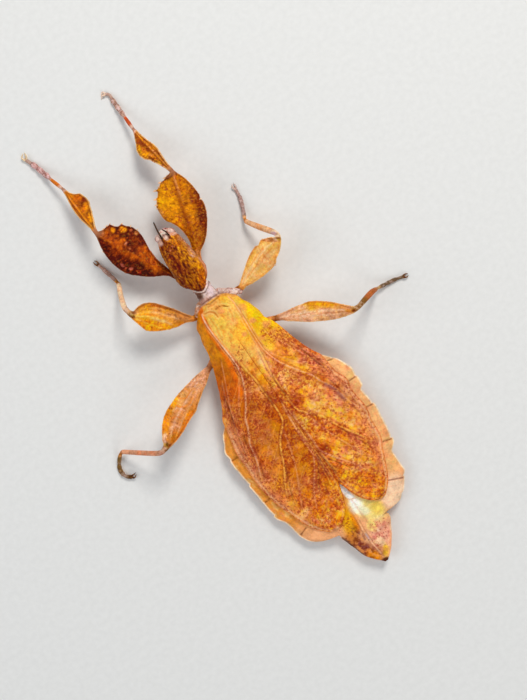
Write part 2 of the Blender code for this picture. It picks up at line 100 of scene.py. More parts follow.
# (y, half width left, half width right) from the thorax to the tail tip.
BODY_OUTLINE = [(-0.85, 3.0, 3.1), (-2.0, 3.8, 4.3), (-3.2, 4.9, 5.1),
                (-4.2, 5.5, 5.4), (-5.4, 5.6, 6.1), (-6.6, 6.0, 6.5),
                (-7.95, 6.2, 6.9), (-10.2, 6.4, 7.0), (-12.6, 6.1, 6.4),
                (-16.0, 7.7, 8.3), (-20.0, 9.8, 10.1), (-22.4, 11.6, 12.3),
                (-23.9, 13.0, 13.6), (-25.9, 14.2, 14.8), (-27.9, 15.3, 15.6),
                (-29.3, 15.2, 15.4), (-31.7, 15.2, 15.4), (-32.3, 15.2, 14.7),
                (-34.7, 15.0, 15.0), (-37.1, 14.8, 15.1), (-39.1, 14.8, 15.0),
                (-42.1, 14.6, 14.6), (-44.7, 14.1, 14.0), (-46.3, 13.2, 12.8),
                (-50.6, 12.4, 12.8), (-52.2, 11.4, 11.6), (-53.4, 9.9, 10.8),
                (-54.1, 8.0, 10.3), (-54.5, 5.7, 9.6), (-55.5, 5.6, 8.3),
                (-55.9, 5.5, 4.9), (-56.6, 5.3, 5.1), (-58.8, 4.5, 4.1),
                (-61.1, 3.7, 2.7), (-62.6, 2.6, 1.5), (-63.6, 1.5, 0.4),
                (-64.1, 1.0, -0.2)]
# Small steps of the margin at the joints: place and depth.
SHOULDERS = [(-24.0, .16), (-29.5, .20), (-35.9, .26), (-43.9, .30),
             (-51.8, .22)]
TEGMEN_OUTLINE = [(-6.0, 5.0, 5.4, 0.15), (-8.3, 5.9, 6.4, 0.15),
                  (-10.2, 6.5, 7.5, 0.15), (-12.0, 7.0, 8.4, 0.15),
                  (-16.0, 8.6, 9.5, 0.15), (-20.0, 10.5, 11.0, 0.15),
                  (-22.2, 11.8, 12.1, 0.15), (-26.0, 12.6, 12.6, 0.15),
                  (-29.1, 13.2, 13.6, 0.15), (-30.9, 13.2, 13.2, 0.15),
                  (-35.6, 13.4, 13.6, 0.15), (-38.5, 13.1, 13.0, 0.15),
                  (-41.6, 12.6, 12.8, 0.15), (-44.4, 11.6, 11.7, 0.15),
                  (-46.0, 11.0, 11.0, 0.35), (-49.4, 9.6, 9.5, 1.5),
                  (-51.0, 8.5, 8.4, 2.6), (-52.0, 7.4, 7.4, 3.7),
                  (-52.5, 6.7, 6.8, 4.7), (-52.75, 5.9, 6.0, 5.2)]
# Head and prothorax: (y, half width, lowest z, highest z, x of the middle)
FRONT_PROFILE = [(15.95, .30, 6.95, 7.30, .2), (15.8, .75, 6.6, 7.6, .2),
                 (15.3, 1.22, 6.25, 8.0, .15), (14.6, 1.70, 5.95, 8.6, .1),
                 (13.6, 2.18, 5.6, 9.2, .05), (12.4, 2.54, 5.3, 9.7, 0),
                 (10.8, 2.78, 4.95, 10.15, -.02), (8.6, 3.00, 4.8, 10.4, .05),
                 (6.9, 3.18, 4.8, 10.4, .12), (5.7, 3.24, 4.9, 10.2, .14),
                 (4.8, 3.10, 5.0, 9.95, .12), (4.0, 2.80, 5.2, 9.6, .08),
                 (3.4, 2.42, 5.4, 9.3, .08), (3.0, 2.04, 5.6, 9.05, .12),
                 (2.62, 1.60, 5.8, 8.6, .15), (2.44, 1.72, 5.5, 8.7, .18),
                 (2.2, 1.86, 5.25, 8.95, .2), (1.9, 1.88, 5.2, 9.1, .22),
                 (1.3, 1.80, 5.2, 9.2, .24), (0.5, 1.90, 5.15, 9.4, .28),
                 (-0.35, 2.00, 5.2, 9.5, .3), (-0.70, 1.90, 5.25, 9.3, .3),
                 (-1.6, 2.2, 4.6, 9.6, .1)]
EYE_RADIUS = 0.77
EYES = {"left": (-1.30, 14.66, 7.76), "right": (1.48, 14.48, 7.80)}
ANTENNAE = {"left": [(-0.62, 13.7, 8.55), (-0.60, 14.62, 8.95),
                     (-0.50, 15.9, 9.15), (-0.32, 17.0, 9.1),
                     (-0.20, 17.8, 8.9)],
            "right": [(0.90, 13.5, 8.5), (0.86, 14.2, 9.0),
                      (0.76, 14.9, 9.5), (0.56, 15.3, 9.95),
                      (0.40, 15.5, 10.4)]}

# ------------------------------------------------------------ leg tables
# Lobes of femora and front tibiae: (place along the shaft, width), left and
# right as seen from above, looking away from the body.
FEMORA = {
    "leg_front_left": dict(
        base=(-3.46, 7.07, 4.4), knee=(-10.78, 22.12, 7.5), start=0.0,
        left=[(0, .65), (.074, .72), (.144, 1.26), (.245, 2.23),
              (.349, 3.10), (.435, 3.69), (.516, 4.01), (.611, 3.89),
              (.698, 3.60), (.781, 3.04), (.853, 2.40), (.916, 1.64),
              (.985, .62), (1, .5)],
        right=[(0, .65), (.06, .65), (.113, .80), (.197, 1.20), (.275, 1.60),
               (.396, 2.45), (.480, 3.43), (.559, 4.25), (.624, 4.63),
               (.692, 4.76), (.727, 4.63), (.770, 4.34), (.828, 4.22),
               (.836, 3.58), (.876, 3.20), (.915, 3.10), (.944, 3.05),
               (.949, 2.45), (.972, 2.40), (.976, 1.81), (.998, 1.0),
               (1, .6)]),
    "leg_front_right": dict(
        base=(3.00, 6.55, 4.75), knee=(8.23, 23.53, 7.5), start=0.0,
        left=[(0, .75), (.117, .84), (.224, 1.04), (.309, 1.36), (.373, 1.82),
              (.439, 2.44), (.501, 3.51), (.526, 4.30), (.577, 4.80),
              (.64, 5.14), (.70, 5.40), (.735, 5.15), (.775, 4.85),
              (.790, 5.17), (.797, 4.55), (.86, 4.06), (.878, 4.61),
              (.886, 3.95), (.925, 3.20), (.945, 3.10), (.952, 2.50),
              (.962, 2.10), (.984, 1.9), (.990, 1.2), (1, .7)],
        right=[(0, .75), (.124, 1.03), (.191, 1.82), (.271, 2.59),
               (.342, 3.16), (.415, 3.61), (.489, 3.93), (.556, 4.02),
               (.619, 3.96), (.648, 3.55), (.696, 3.65), (.778, 3.16),
               (.849, 2.56), (.915, 1.93), (.965, 1.20), (1, .5)]),
    "leg_middle_left": dict(
        base=(-4.53, -2.27, 4.25), knee=(-14.15, 5.54, 8.5), start=0.06,
        left=[(0, .6), (.093, .6), (.167, .84), (.27, 1.73), (.39, 2.42),
              (.541, 2.84), (.663, 3.05), (.755, 3.00), (.837, 2.24),
              (.917, 1.45), (.981, .72), (1, .5)],
        right=[(0, .6), (.05, .6), (.178, 1.03), (.337, 1.78), (.495, 2.33),
               (.65, 2.77), (.741, 2.80), (.83, 2.48), (.902, 1.86),
               (.959, 1.12), (1, .5)]),
    "leg_middle_right": dict(
        base=(5.98, -2.40, 4.4), knee=(18.23, 1.72, 8.5), start=0.04,
        left=[(0, .6), (.098, .92), (.232, 1.57), (.352, 2.09), (.476, 2.53),
              (.576, 2.74), (.657, 2.78), (.711, 2.32), (.789, 2.58),
              (.833, 2.28), (.913, 1.35), (.979, .53), (1, .5)],
        right=[(0, .6), (.105, .6), (.185, 1.21), (.289, 1.7), (.392, 2.18),
               (.508, 2.54), (.571, 2.67), (.646, 2.68), (.727, 2.15),
               (.837, 1.80), (.917, 1.27), (1, .48)]),
    "leg_hind_left": dict(
        base=(-7.54, -11.44, 3.3), knee=(-23.12, -19.69, 10.0), start=0.04,
        left=[(0, .55), (.059, .56), (.127, .78), (.204, 1.08), (.277, 1.12),
              (.356, 1.33), (.436, 1.55), (.513, 1.86), (.604, 1.63),
              (.666, 1.58), (.752, 1.53), (.828, 1.40), (.895, 1.18),
              (.966, .77), (1, .55)],
        right=[(0, .55), (.036, .65), (.109, 1.19), (.203, 1.85),
               (.305, 2.41), (.393, 2.89), (.475, 3.19), (.567, 3.40),
               (.643, 3.53), (.724, 3.39), (.807, 2.90), (.873, 2.25),
               (.945, 1.42), (.991, .62), (1, .55)]),
    "leg_hind_right": dict(
        base=(8.26, -10.92, 3.3), knee=(22.66, -18.14, 12.0), start=0.015,
        left=[(0, .55), (.084, .93), (.174, 1.35), (.277, 1.94), (.354, 2.27),
              (.442, 2.68), (.526, 2.60), (.608, 2.43), (.701, 2.05),
              (.791, 1.57), (.87, 1.12), (.959, .65), (1, .55)],
        right=[(0, .5), (.108, .51), (.192, .86), (.312, 1.19), (.432, 1.48),
               (.552, 1.55), (.671, 1.58), (.791, 1.42), (.911, .98),
               (.984, .54), (1, .5)]),
}
FRONT_TIBIAE = {
    "leg_front_left": dict(
        base=(-10.75, 22.33, 7.5), knee=(-11.82, 33.92, 3.0),
        left=[(0, .42), (.131, .45), (.277, .71), (.397, .97), (.546, 1.0),
              (.678, .92), (.877, .52), (1, .36)],
        right=[(0, .42), (.093, .55), (.226, 1.19), (.34, 1.78), (.44, 2.26),
               (.547, 2.67), (.638, 2.67), (.746, 2.30), (.811, 1.28),
               (.892, .66), (.969, .38), (1, .36)]),
    "leg_front_right": dict(
        base=(8.34, 23.69, 7.5), knee=(6.50, 35.45, 3.0),
        left=[(0, .42), (.122, .60), (.22, .92), (.312, 1.30), (.424, 1.76),
              (.51, 2.50), (.617, 2.76), (.718, 2.53), (.769, 1.99),
              (.871, 1.20), (.981, .48), (1, .38)],
        right=[(0, .42), (.136, .42), (.259, .58), (.383, .80), (.484, 1.04),
               (.584, 1.01), (.709, .67), (.848, .48), (1, .36)]),
}
# Round pieces: (x, y, z, radius) along each.
COXAE = {
    "leg_front_left": [(-0.75, 1.9, 3.90, .60), (-1.15, 3.3, 3.95, .80),
                       (-2.05, 5.0, 4.05, .88), (-3.10, 6.4, 4.25, .72)],
    "leg_front_right": [(0.90, 1.5, 3.90, .60), (1.20, 2.9, 3.95, .85),
                        (1.95, 4.6, 4.10, .92), (2.70, 5.85, 4.45, .80)],
    "leg_middle_left": [(-2.65, -0.9, 4.25, .60), (-3.6, -1.6, 4.05, .80),
                        (-4.25, -1.95, 4.05, .64)],
    "leg_middle_right": [(2.75, 0.10, 4.35, .60), (4.20, -0.85, 4.20, .80),
                         (5.30, -1.98, 4.25, .66)],
    "leg_hind_left": [(-4.9, -10.2, 3.05, .70), (-6.2, -10.8, 3.1, .80),
                      (-7.55, -11.45, 3.25, .66)],
    "leg_hind_right": [(5.1, -10.0, 3.05, .70), (6.5, -10.4, 3.1, .80),
                       (7.95, -10.8, 3.2, .66)],
}
# Where each leg's root lies inside the body.
ROOTS = {"leg_front_left": (-0.4, 0.6, 5.6), "leg_front_right": (0.5, 0.3, 5.6),
         "leg_middle_left": (-1.6, -2.0, 5.6),
         "leg_middle_right": (1.8, -1.8, 5.6),
         "leg_hind_left": (-3.2, -10.0, 4.6),
         "leg_hind_right": (3.4, -9.8, 4.6)}
TIBIAE = {
    "leg_middle_left": [(-14.32, 6.35, 8.05, .50), (-14.6, 7.6, 7.0, .52),
                        (-14.3, 10.2, 4.2, .50), (-13.68, 12.5, 1.85, .46)],
    "leg_middle_right": [(18.15, 2.6, 7.95, .50), (17.3, 3.9, 6.85, .54),
                         (15.9, 6.0, 4.3, .50), (14.5, 8.3, 1.85, .46)],
    "leg_hind_left": [(-23.85, -19.9, 9.65, .50), (-25.2, -19.8, 8.8, .54),
                      (-28.7, -18.0, 5.6, .56), (-32.6, -15.85, 1.85, .46)],
    "leg_hind_right": [(23.4, -17.95, 11.3, .48), (25.2, -17.6, 9.2, .50),
                       (27.1, -17.4, 5.2, .50), (28.2, -17.55, 1.95, .44)],
}
TARSI = {
    "leg_front_left": [(-11.95, 34.3, 2.85, .34), (-12.9, 37.2, 1.9, .36),
                       (-13.3, 38.6, 1.3, .52), (-14.1, 41.1, .58, .54),
                       (-14.5, 42.3, .50, .52), (-14.9, 43.2, .42, .44),
                       (-15.15, 43.8, .36, .32)],
    "leg_front_right": [(6.43, 35.85, 2.85, .34), (6.35, 38.6, 1.9, .35),
                        (6.3, 39.9, 1.35, .48), (6.2, 42.2, .6, .50),
                        (6.2, 43.5, .46, .48), (6.25, 44.8, .40, .38),
                        (5.6, 45.3, .34, .30)],
    "leg_middle_left": [(-13.8, 13.05, 1.45, .34), (-14.1, 14.4, .95, .38),
                        (-14.5, 15.6, .5, .42), (-14.8, 16.9, .40, .42),
                        (-15.1, 18.1, .36, .34)],
    "leg_middle_right": [(14.6, 8.85, 1.45, .34), (15.2, 10.2, .95, .38),
                         (15.9, 11.9, .5, .42), (16.3, 13.4, .40, .42),
                         (16.45, 14.9, .36, .34)],
    "leg_hind_left": [(-33.3, -15.95, 1.4, .36), (-34.3, -16.8, .85, .40),
                      (-35.3, -18.1, .47, .44), (-35.6, -19.4, .48, .47),
                      (-35.2, -20.6, .52, .50), (-34.4, -21.2, .50, .46)],
    "leg_hind_right": [(28.75, -17.6, 1.4, .32), (30.2, -17.8, .85, .38),
                       (31.5, -18.0, .45, .40), (32.8, -18.2, .40, .40),
                       (34.2, -18.6, .36, .32)],
}
# Share of the foot's length at which each of its joints lies.
FOOT_JOINTS = {"leg_front_left": (0.0, .34, .53, .70, .86, 1.0),
               "leg_front_right": (0.0, .34, .50, .66, .80, 1.0)}
# Way the claws bend: (first bend, tip), as steps from the tarsus' end.
CLAWS = {"leg_front_left": ((.10, .80, .05), (.42, 1.45, -.05)),
         "leg_front_right": ((-.50, .30, .05), (-1.15, -.25, -.05)),
         "leg_middle_left": ((-.20, .75, .12), (-.45, 1.25, -.05)),
         "leg_middle_right": ((.05, .75, .12), (.20, 1.25, -.05)),
         "leg_hind_left": ((.65, -.15, .12), (1.20, .10, -.05)),
         "leg_hind_right": ((.72, -.15, .12), (1.20, -.20, -.05))}


# ------------------------------------------------------------ small helpers
def smooth(table, x):
    """Monotone cubic through (x, value) points, for an array of x."""
    pts = sorted(table)
    px = np.array([p[0] for p in pts], float)
    pv = np.array([p[1] for p in pts], float)
    slope = np.diff(pv) / np.diff(px)
    tan = np.empty(len(px))
    tan[0], tan[-1] = slope[0], slope[-1]
    a, b = slope[:-1], slope[1:]
    same = a * b > 0
    tan[1:-1] = np.where(same, 2 * a * b / np.where(same, a + b, 1), 0)
    x = np.clip(np.asarray(x, float), px[0], px[-1])
    k = np.clip(np.searchsorted(px, x, side="right") - 1, 0, len(px) - 2)
    h = px[k + 1] - px[k]
    t = (x - px[k]) / h
    return ((2 * t ** 3 - 3 * t ** 2 + 1) * pv[k]
            + (t ** 3 - 2 * t ** 2 + t) * h * tan[k]
            + (-2 * t ** 3 + 3 * t ** 2) * pv[k + 1]
            + (t ** 3 - t ** 2) * h * tan[k + 1])


def column(table, k):
    return [(row[0], row[k]) for row in table]


def straight(table, x):
    return np.interp(x, [p[0] for p in table], [p[1] for p in table])


def ramp(x, a, b):
    """0 before a, 1 after b, smooth between (a may be above b)."""
    t = np.clip((np.asarray(x, float) - a) / (b - a), 0, 1)
    return t * t * (3 - 2 * t)


def bell(x, width):
    return np.exp(-(np.asarray(x, float) / width) ** 2)


def roof(x, y):
    s = np.minimum(np.abs(x) / smooth(ROOF_HALF, y), 1.0)
    edge = smooth(ROOF_EDGE, y)
    return edge + (smooth(ROOF_MID, y) - edge) * (1 - s ** ROOF_POWER)


def hashed(ix, iy, iz, seed):
    h = (ix * 374761393 + iy * 668265263 + iz * 2246822519
         + seed * 3266489917) & 0xFFFFFFFF
    h = ((h ^ (h >> 13)) * 1274126177) & 0xFFFFFFFF
    h = (h ^ (h >> 16)) & 0xFFFF
    return h / 65535.0 * 2 - 1


def grain(p, size, seed=0):
    """Smooth value noise in -1..1 with blobs of about the given size (mm)."""
    q = np.asarray(p, float) / size
    i = np.floor(q).astype(np.int64)
    f = q - i
    f = f * f * (3 - 2 * f)
    out = np.zeros(q.shape[:-1])
    for dx in (0, 1):
        wx = f[..., 0] if dx else 1 - f[..., 0]
        for dy in (0, 1):
            wy = f[..., 1] if dy else 1 - f[..., 1]
            for dz in (0, 1):
                wz = f[..., 2] if dz else 1 - f[..., 2]
                out += wx * wy * wz * hashed(i[..., 0] + dx, i[..., 1] + dy,
                                             i[..., 2] + dz, seed)
    return out


def clouds(p, size, seed=0, octaves=3):
    total, amp, norm = 0.0, 1.0, 0.0
    for k in range(octaves):
        total = total + amp * grain(p, size / 2 ** k, seed + 17 * k)
        norm += amp
        amp *= 0.55
    return total / norm


def tone(r, g, b):
    """Linear colour from display values of 0 to 255."""
    c = np.array([r, g, b], float) / 255
    return np.where(c <= 0.04045, c / 12.92, ((c + 0.055) / 1.055) ** 2.4)


def lay(colour, target, weight):
    """Blend a target colour over an (n, 3) colour array."""
    w = np.clip(weight, 0, 1)[..., None]
    colour += (target - colour) * w


def mottled(colour, noise, weight, dark=(.58, .42, .30),
            light=(1.20, 1.26, 1.0)):
    """Darker and redder grains, and lighter ones, over any ground colour."""
    low = ramp(-noise, 0.05, 0.45) * np.clip(weight, 0, 1)
    top = ramp(noise, 0.05, 0.45) * np.clip(weight, 0, 1)
    colour *= 1 + low[..., None] * (np.array(dark) - 1)
    colour *= 1 + top[..., None] * (np.array(light) - 1)


def capped(value, roof):
    """Value, eased off so that it never passes its roof."""
    share = value / np.maximum(roof, 1e-6)
    eased = 0.7 + 0.3 * np.tanh((share - 0.7) / 0.3)
    return np.where(share > 0.7, eased, share) * roof


def uneven(colour, p, weight, seed, steps, roofs=None):
    """Patches and grains of several sizes, redder, yellower or pinker."""
    power = np.zeros(p.shape)
    for k, (size, r, g, b) in enumerate(steps):
        n = grain(p, size, seed + 2 * k)
        m = 0.55 * n + 0.83 * grain(p, size, seed + 2 * k + 1)
        power += np.stack([r * n, g * n, b * m - 0.07 * b], -1)
    w = np.clip(weight, 0, 1)[..., None]
    colour *= np.exp(power * w)
    np.minimum(colour, 1.0, out=colour)
    if roofs:
        eased = colour.copy()
        eased[..., 1] = capped(eased[..., 1], roofs[0] * eased[..., 0])
        eased[..., 2] = capped(eased[..., 2], roofs[1] * eased[..., 1])
        colour += (eased - colour) * w


def spot(uv, x, y, rx, ry=None, turn=0.0, hard=0.5):
    """Soft ellipse mask around a picture point."""
    ry = rx if ry is None else ry
    a = math.radians(turn)
    dx, dy = uv[..., 0] - x, uv[..., 1] - y
    ex = (dx * math.cos(a) + dy * math.sin(a)) / rx
    ey = (-dx * math.sin(a) + dy * math.cos(a)) / ry
    return 1 - ramp(np.sqrt(ex * ex + ey * ey), 1 - hard * 0.6, 1 + hard)


def line_distance(uv, points):
    """(distance, share of the way along, side) to a line of points."""
    pts = np.asarray(points, float)
    seg = np.linalg.norm(np.diff(pts, axis=0), axis=1)
    before = np.concatenate([[0], np.cumsum(seg)])
    best = np.full(uv.shape[:-1], 1e9)
    along = np.zeros(uv.shape[:-1])
    side = np.zeros(uv.shape[:-1])
    for k in range(len(pts) - 1):
        a, d = pts[k], pts[k + 1] - pts[k]
        rx, ry = uv[..., 0] - a[0], uv[..., 1] - a[1]
        t = np.clip((rx * d[0] + ry * d[1]) / (d @ d), 0, 1)
        dist = np.hypot(rx - t * d[0], ry - t * d[1])
        near = dist < best
        best = np.where(near, dist, best)
        along = np.where(near, (before[k] + t * seg[k]) / before[-1], along)
        side = np.where(near, np.sign(rx * d[1] - ry * d[0]), side)
    return best, along, side


def curve_points(points, step=3.0):
    """Smooth path (Catmull-Rom) through points of any dimension."""
    p = np.asarray(points, float)
    p = np.vstack([2 * p[0] - p[1], p, 2 * p[-1] - p[-2]])
    out = []
    for i in range(1, len(p) - 2):
        n = max(2, int(np.linalg.norm(p[i + 1] - p[i]) / step))
        for t in np.arange(n) / n:
            out.append(0.5 * ((2 * p[i]) + (p[i + 1] - p[i - 1]) * t
                              + (2 * p[i - 1] - 5 * p[i] + 4 * p[i + 1]
                                 - p[i + 2]) * t ** 2
                              + (3 * p[i] - p[i - 1] - 3 * p[i + 1]
                                 + p[i + 2]) * t ** 3))
    out.append(p[-2])
    return np.array(out)


def normals_of(grid):
    """Outward normals of a (rings, points, 3) grid closed across points."""
    across = np.roll(grid, -1, 1) - np.roll(grid, 1, 1)
    along = np.gradient(grid, axis=0)
    n = np.cross(across, along)
    n /= np.maximum(np.linalg.norm(n, axis=-1, keepdims=True), 1e-9)
    middle = grid.mean(axis=1, keepdims=True)
    if np.sum(n * (grid - middle)) < 0:
        n = -n
    return n


class Shell:
    """Closed surfaces gathered into one mesh, with their colours."""

    def __init__(self):
        self.points, self.faces, self.tints, self.marks = [], [], [], []
        self.count = 0

    def add(self, grid, tint, marks):
        n, m = grid.shape[:2]
        idx = self.count + np.arange(n * m).reshape(n, m)
        nxt = np.roll(idx, -1, 1)
        quads = np.stack([idx[:-1], nxt[:-1], nxt[1:], idx[1:]], -1)
        faces = quads.reshape(-1, 4).tolist()
        first, last = self.count + n * m, self.count + n * m + 1
        faces += [[first, int(nxt[0, j]), int(idx[0, j])] for j in range(m)]
        faces += [[last, int(idx[-1, j]), int(nxt[-1, j])] for j in range(m)]
        self.faces += faces
        self.points += [grid.reshape(-1, 3), grid[:1].mean(1),
                        grid[-1:].mean(1)]
        for store, value in ((self.tints, tint), (self.marks, marks)):
            value = np.broadcast_to(value, (n, m, 3))
            store += [value.reshape(-1, 3), value[:1].mean(1),
                      value[-1:].mean(1)]
        self.count += n * m + 2

    def build(self, name, material, slot, *nodes):
        points = (np.concatenate(self.points) + SHIFT) * MM
        mesh = bpy.data.meshes.new(name)
        mesh.from_pydata(points.tolist(), [], self.faces)
        for label, store in (("tint", self.tints), ("marks", self.marks)):
            data = np.ones((len(points), 4), np.float32)
            data[:, :3] = np.concatenate(store)
            if label == "tint":          # leave room for the shine on top
                data[:, :3] = np.clip(data[:, :3] * 1.15 - 0.014, 0.0008, 0.96)
            layer = mesh.attributes.new(label, "FLOAT_COLOR", "POINT")
            layer.data.foreach_set("color", data.ravel())
        bm = bmesh.new()
        bm.from_mesh(mesh)
        bmesh.ops.recalc_face_normals(bm, faces=bm.faces)
        bm.to_mesh(mesh)
        bm.free()
        mesh.shade_smooth()
        mesh.materials.append(material)
        obj = bpy.data.objects.new(name, mesh)
        bpy.context.scene.collection.objects.link(obj)
        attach(obj, "root")
        if nodes:
            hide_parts(*nodes)
        return obj


def mirrored(p):
    return p * np.array([-1.0, 1.0, 1.0]) + np.array([0.9, 0.0, 0.0])


# ------------------------------------------------------------ colours
GOLD = tone(246, 190, 40)
GOLD_CREAM = tone(246, 198, 104)
YELLOW = tone(250, 186, 34)
ORANGE = tone(236, 138, 36)
DEEP_ORANGE = tone(224, 108, 20)
RUST = tone(190, 78, 16)
RED_BROWN = tone(146, 50, 12)
MAROON = tone(96, 28, 10)
DARK = tone(60, 22, 14)
SALMON = tone(230, 148, 96)
PEACH = tone(244, 180, 120)
PINK = tone(228, 172, 150)
LILAC = tone(208, 182, 178)
CREAM = tone(250, 232, 186)
WHITE = tone(252, 244, 224)
OLIVE = tone(216, 166, 40)
AMBER = tone(212, 134, 14)
BROWN = tone(128, 66, 18)
TAN = tone(206, 150, 116)
MAUVE = tone(166, 126, 124)

# Main veins of the right tegmen, as paths in the picture; the left tegmen
# carries the same ones mirrored.
RIDGE = [(228, 297), (234, 303), (240, 312), (246, 322), (253, 334),
         (258, 342), (264, 350), (272, 357), (281, 363), (290, 367),
         (300, 371), (312, 375), (319, 380), (327, 384), (335, 388),
         (341, 394), (348, 400), (357, 406), (367, 412)]
# Each: path, strength, colour kept pale (1) or golden (0).
VEINS = [
    ([(258, 348), (262, 356), (266, 364), (270, 372), (276, 380), (283, 391),
      (292, 404), (300, 411), (312, 413), (322, 416), (336, 424), (348, 430),
      (356, 433), (366, 438), (377, 446)], 1.0, 0),
    ([(233, 355), (240, 362), (246, 368), (253, 376), (262, 386), (271, 396),
      (281, 407), (290, 416), (299, 427), (307, 438), (313, 447), (319, 457),
      (326, 467), (334, 476), (341, 484)], 0.9, 0),
    ([(240, 352), (248, 364), (257, 377), (266, 388), (277, 399), (288, 410),
      (300, 424), (310, 436), (320, 450), (330, 455), (341, 459), (353, 463),
      (365, 469), (379, 478)], 0.55, 1),
    ([(322, 454), (330, 464), (340, 475), (350, 485), (362, 494)], 0.5, 0),
    ([(268, 352), (284, 358), (300, 363), (316, 371)], 0.25, 1),
    ([(305, 412), (320, 425), (338, 438), (356, 448), (383, 462)], 0.35, 1),
    ([(262, 330), (276, 338), (290, 346), (304, 354), (318, 363),
      (332, 376), (346, 388), (360, 400), (371, 415)], 0.35, 1),
    ([(283, 338), (300, 348), (318, 357), (334, 368), (348, 381),
      (361, 396)], 0.3, 1),
]
DARK_LINES = [
    [(296, 343), (304, 351), (314, 359), (324, 367)],
    [(303, 349), (312, 358), (322, 366), (329, 372)],
    [(311, 353), (320, 361), (329, 368), (334, 375)],
    [(331, 373), (339, 380), (346, 387), (351, 393)],
    [(337, 371), (344, 379), (352, 388)],
    [(325, 376), (334, 383), (343, 391), (350, 398)],
    [(350, 397), (357, 402), (365, 408)],
    [(347, 402), (355, 408), (363, 414)],
    [(354, 437), (364, 442), (375, 450)],
    [(340, 427), (350, 434), (358, 437)],
    [(324, 457), (335, 461), (347, 466), (356, 471)],
    [(318, 452), (328, 463), (339, 476)],
    [(270, 372), (279, 386), (289, 399)],
]
SEGMENT_LINES = [((328, 360.5), (335.5, 357)), ((348.5, 381), (357, 375.5)),
                 ((366, 407.5), (374, 403)), ((383, 441.5), (392, 438.5)),
                 ((388, 480.5), (404, 477.5)), ((385.5, 513), (389.5, 510)),
                 ((223, 429), (231, 424)), ((230, 462), (241, 455)),
                 ((262, 505), (272, 497)), ((300, 536), (306, 528))]


def ridge_profile(uv):
    """Raised crest of the main vein, 0 to 1."""
    d, along, side = line_distance(uv, curve_points(RIDGE, 6))
    return bell(d, 0.95) * (1 - 0.7 * ramp(along, 0.45, 0.8)), d, along, side


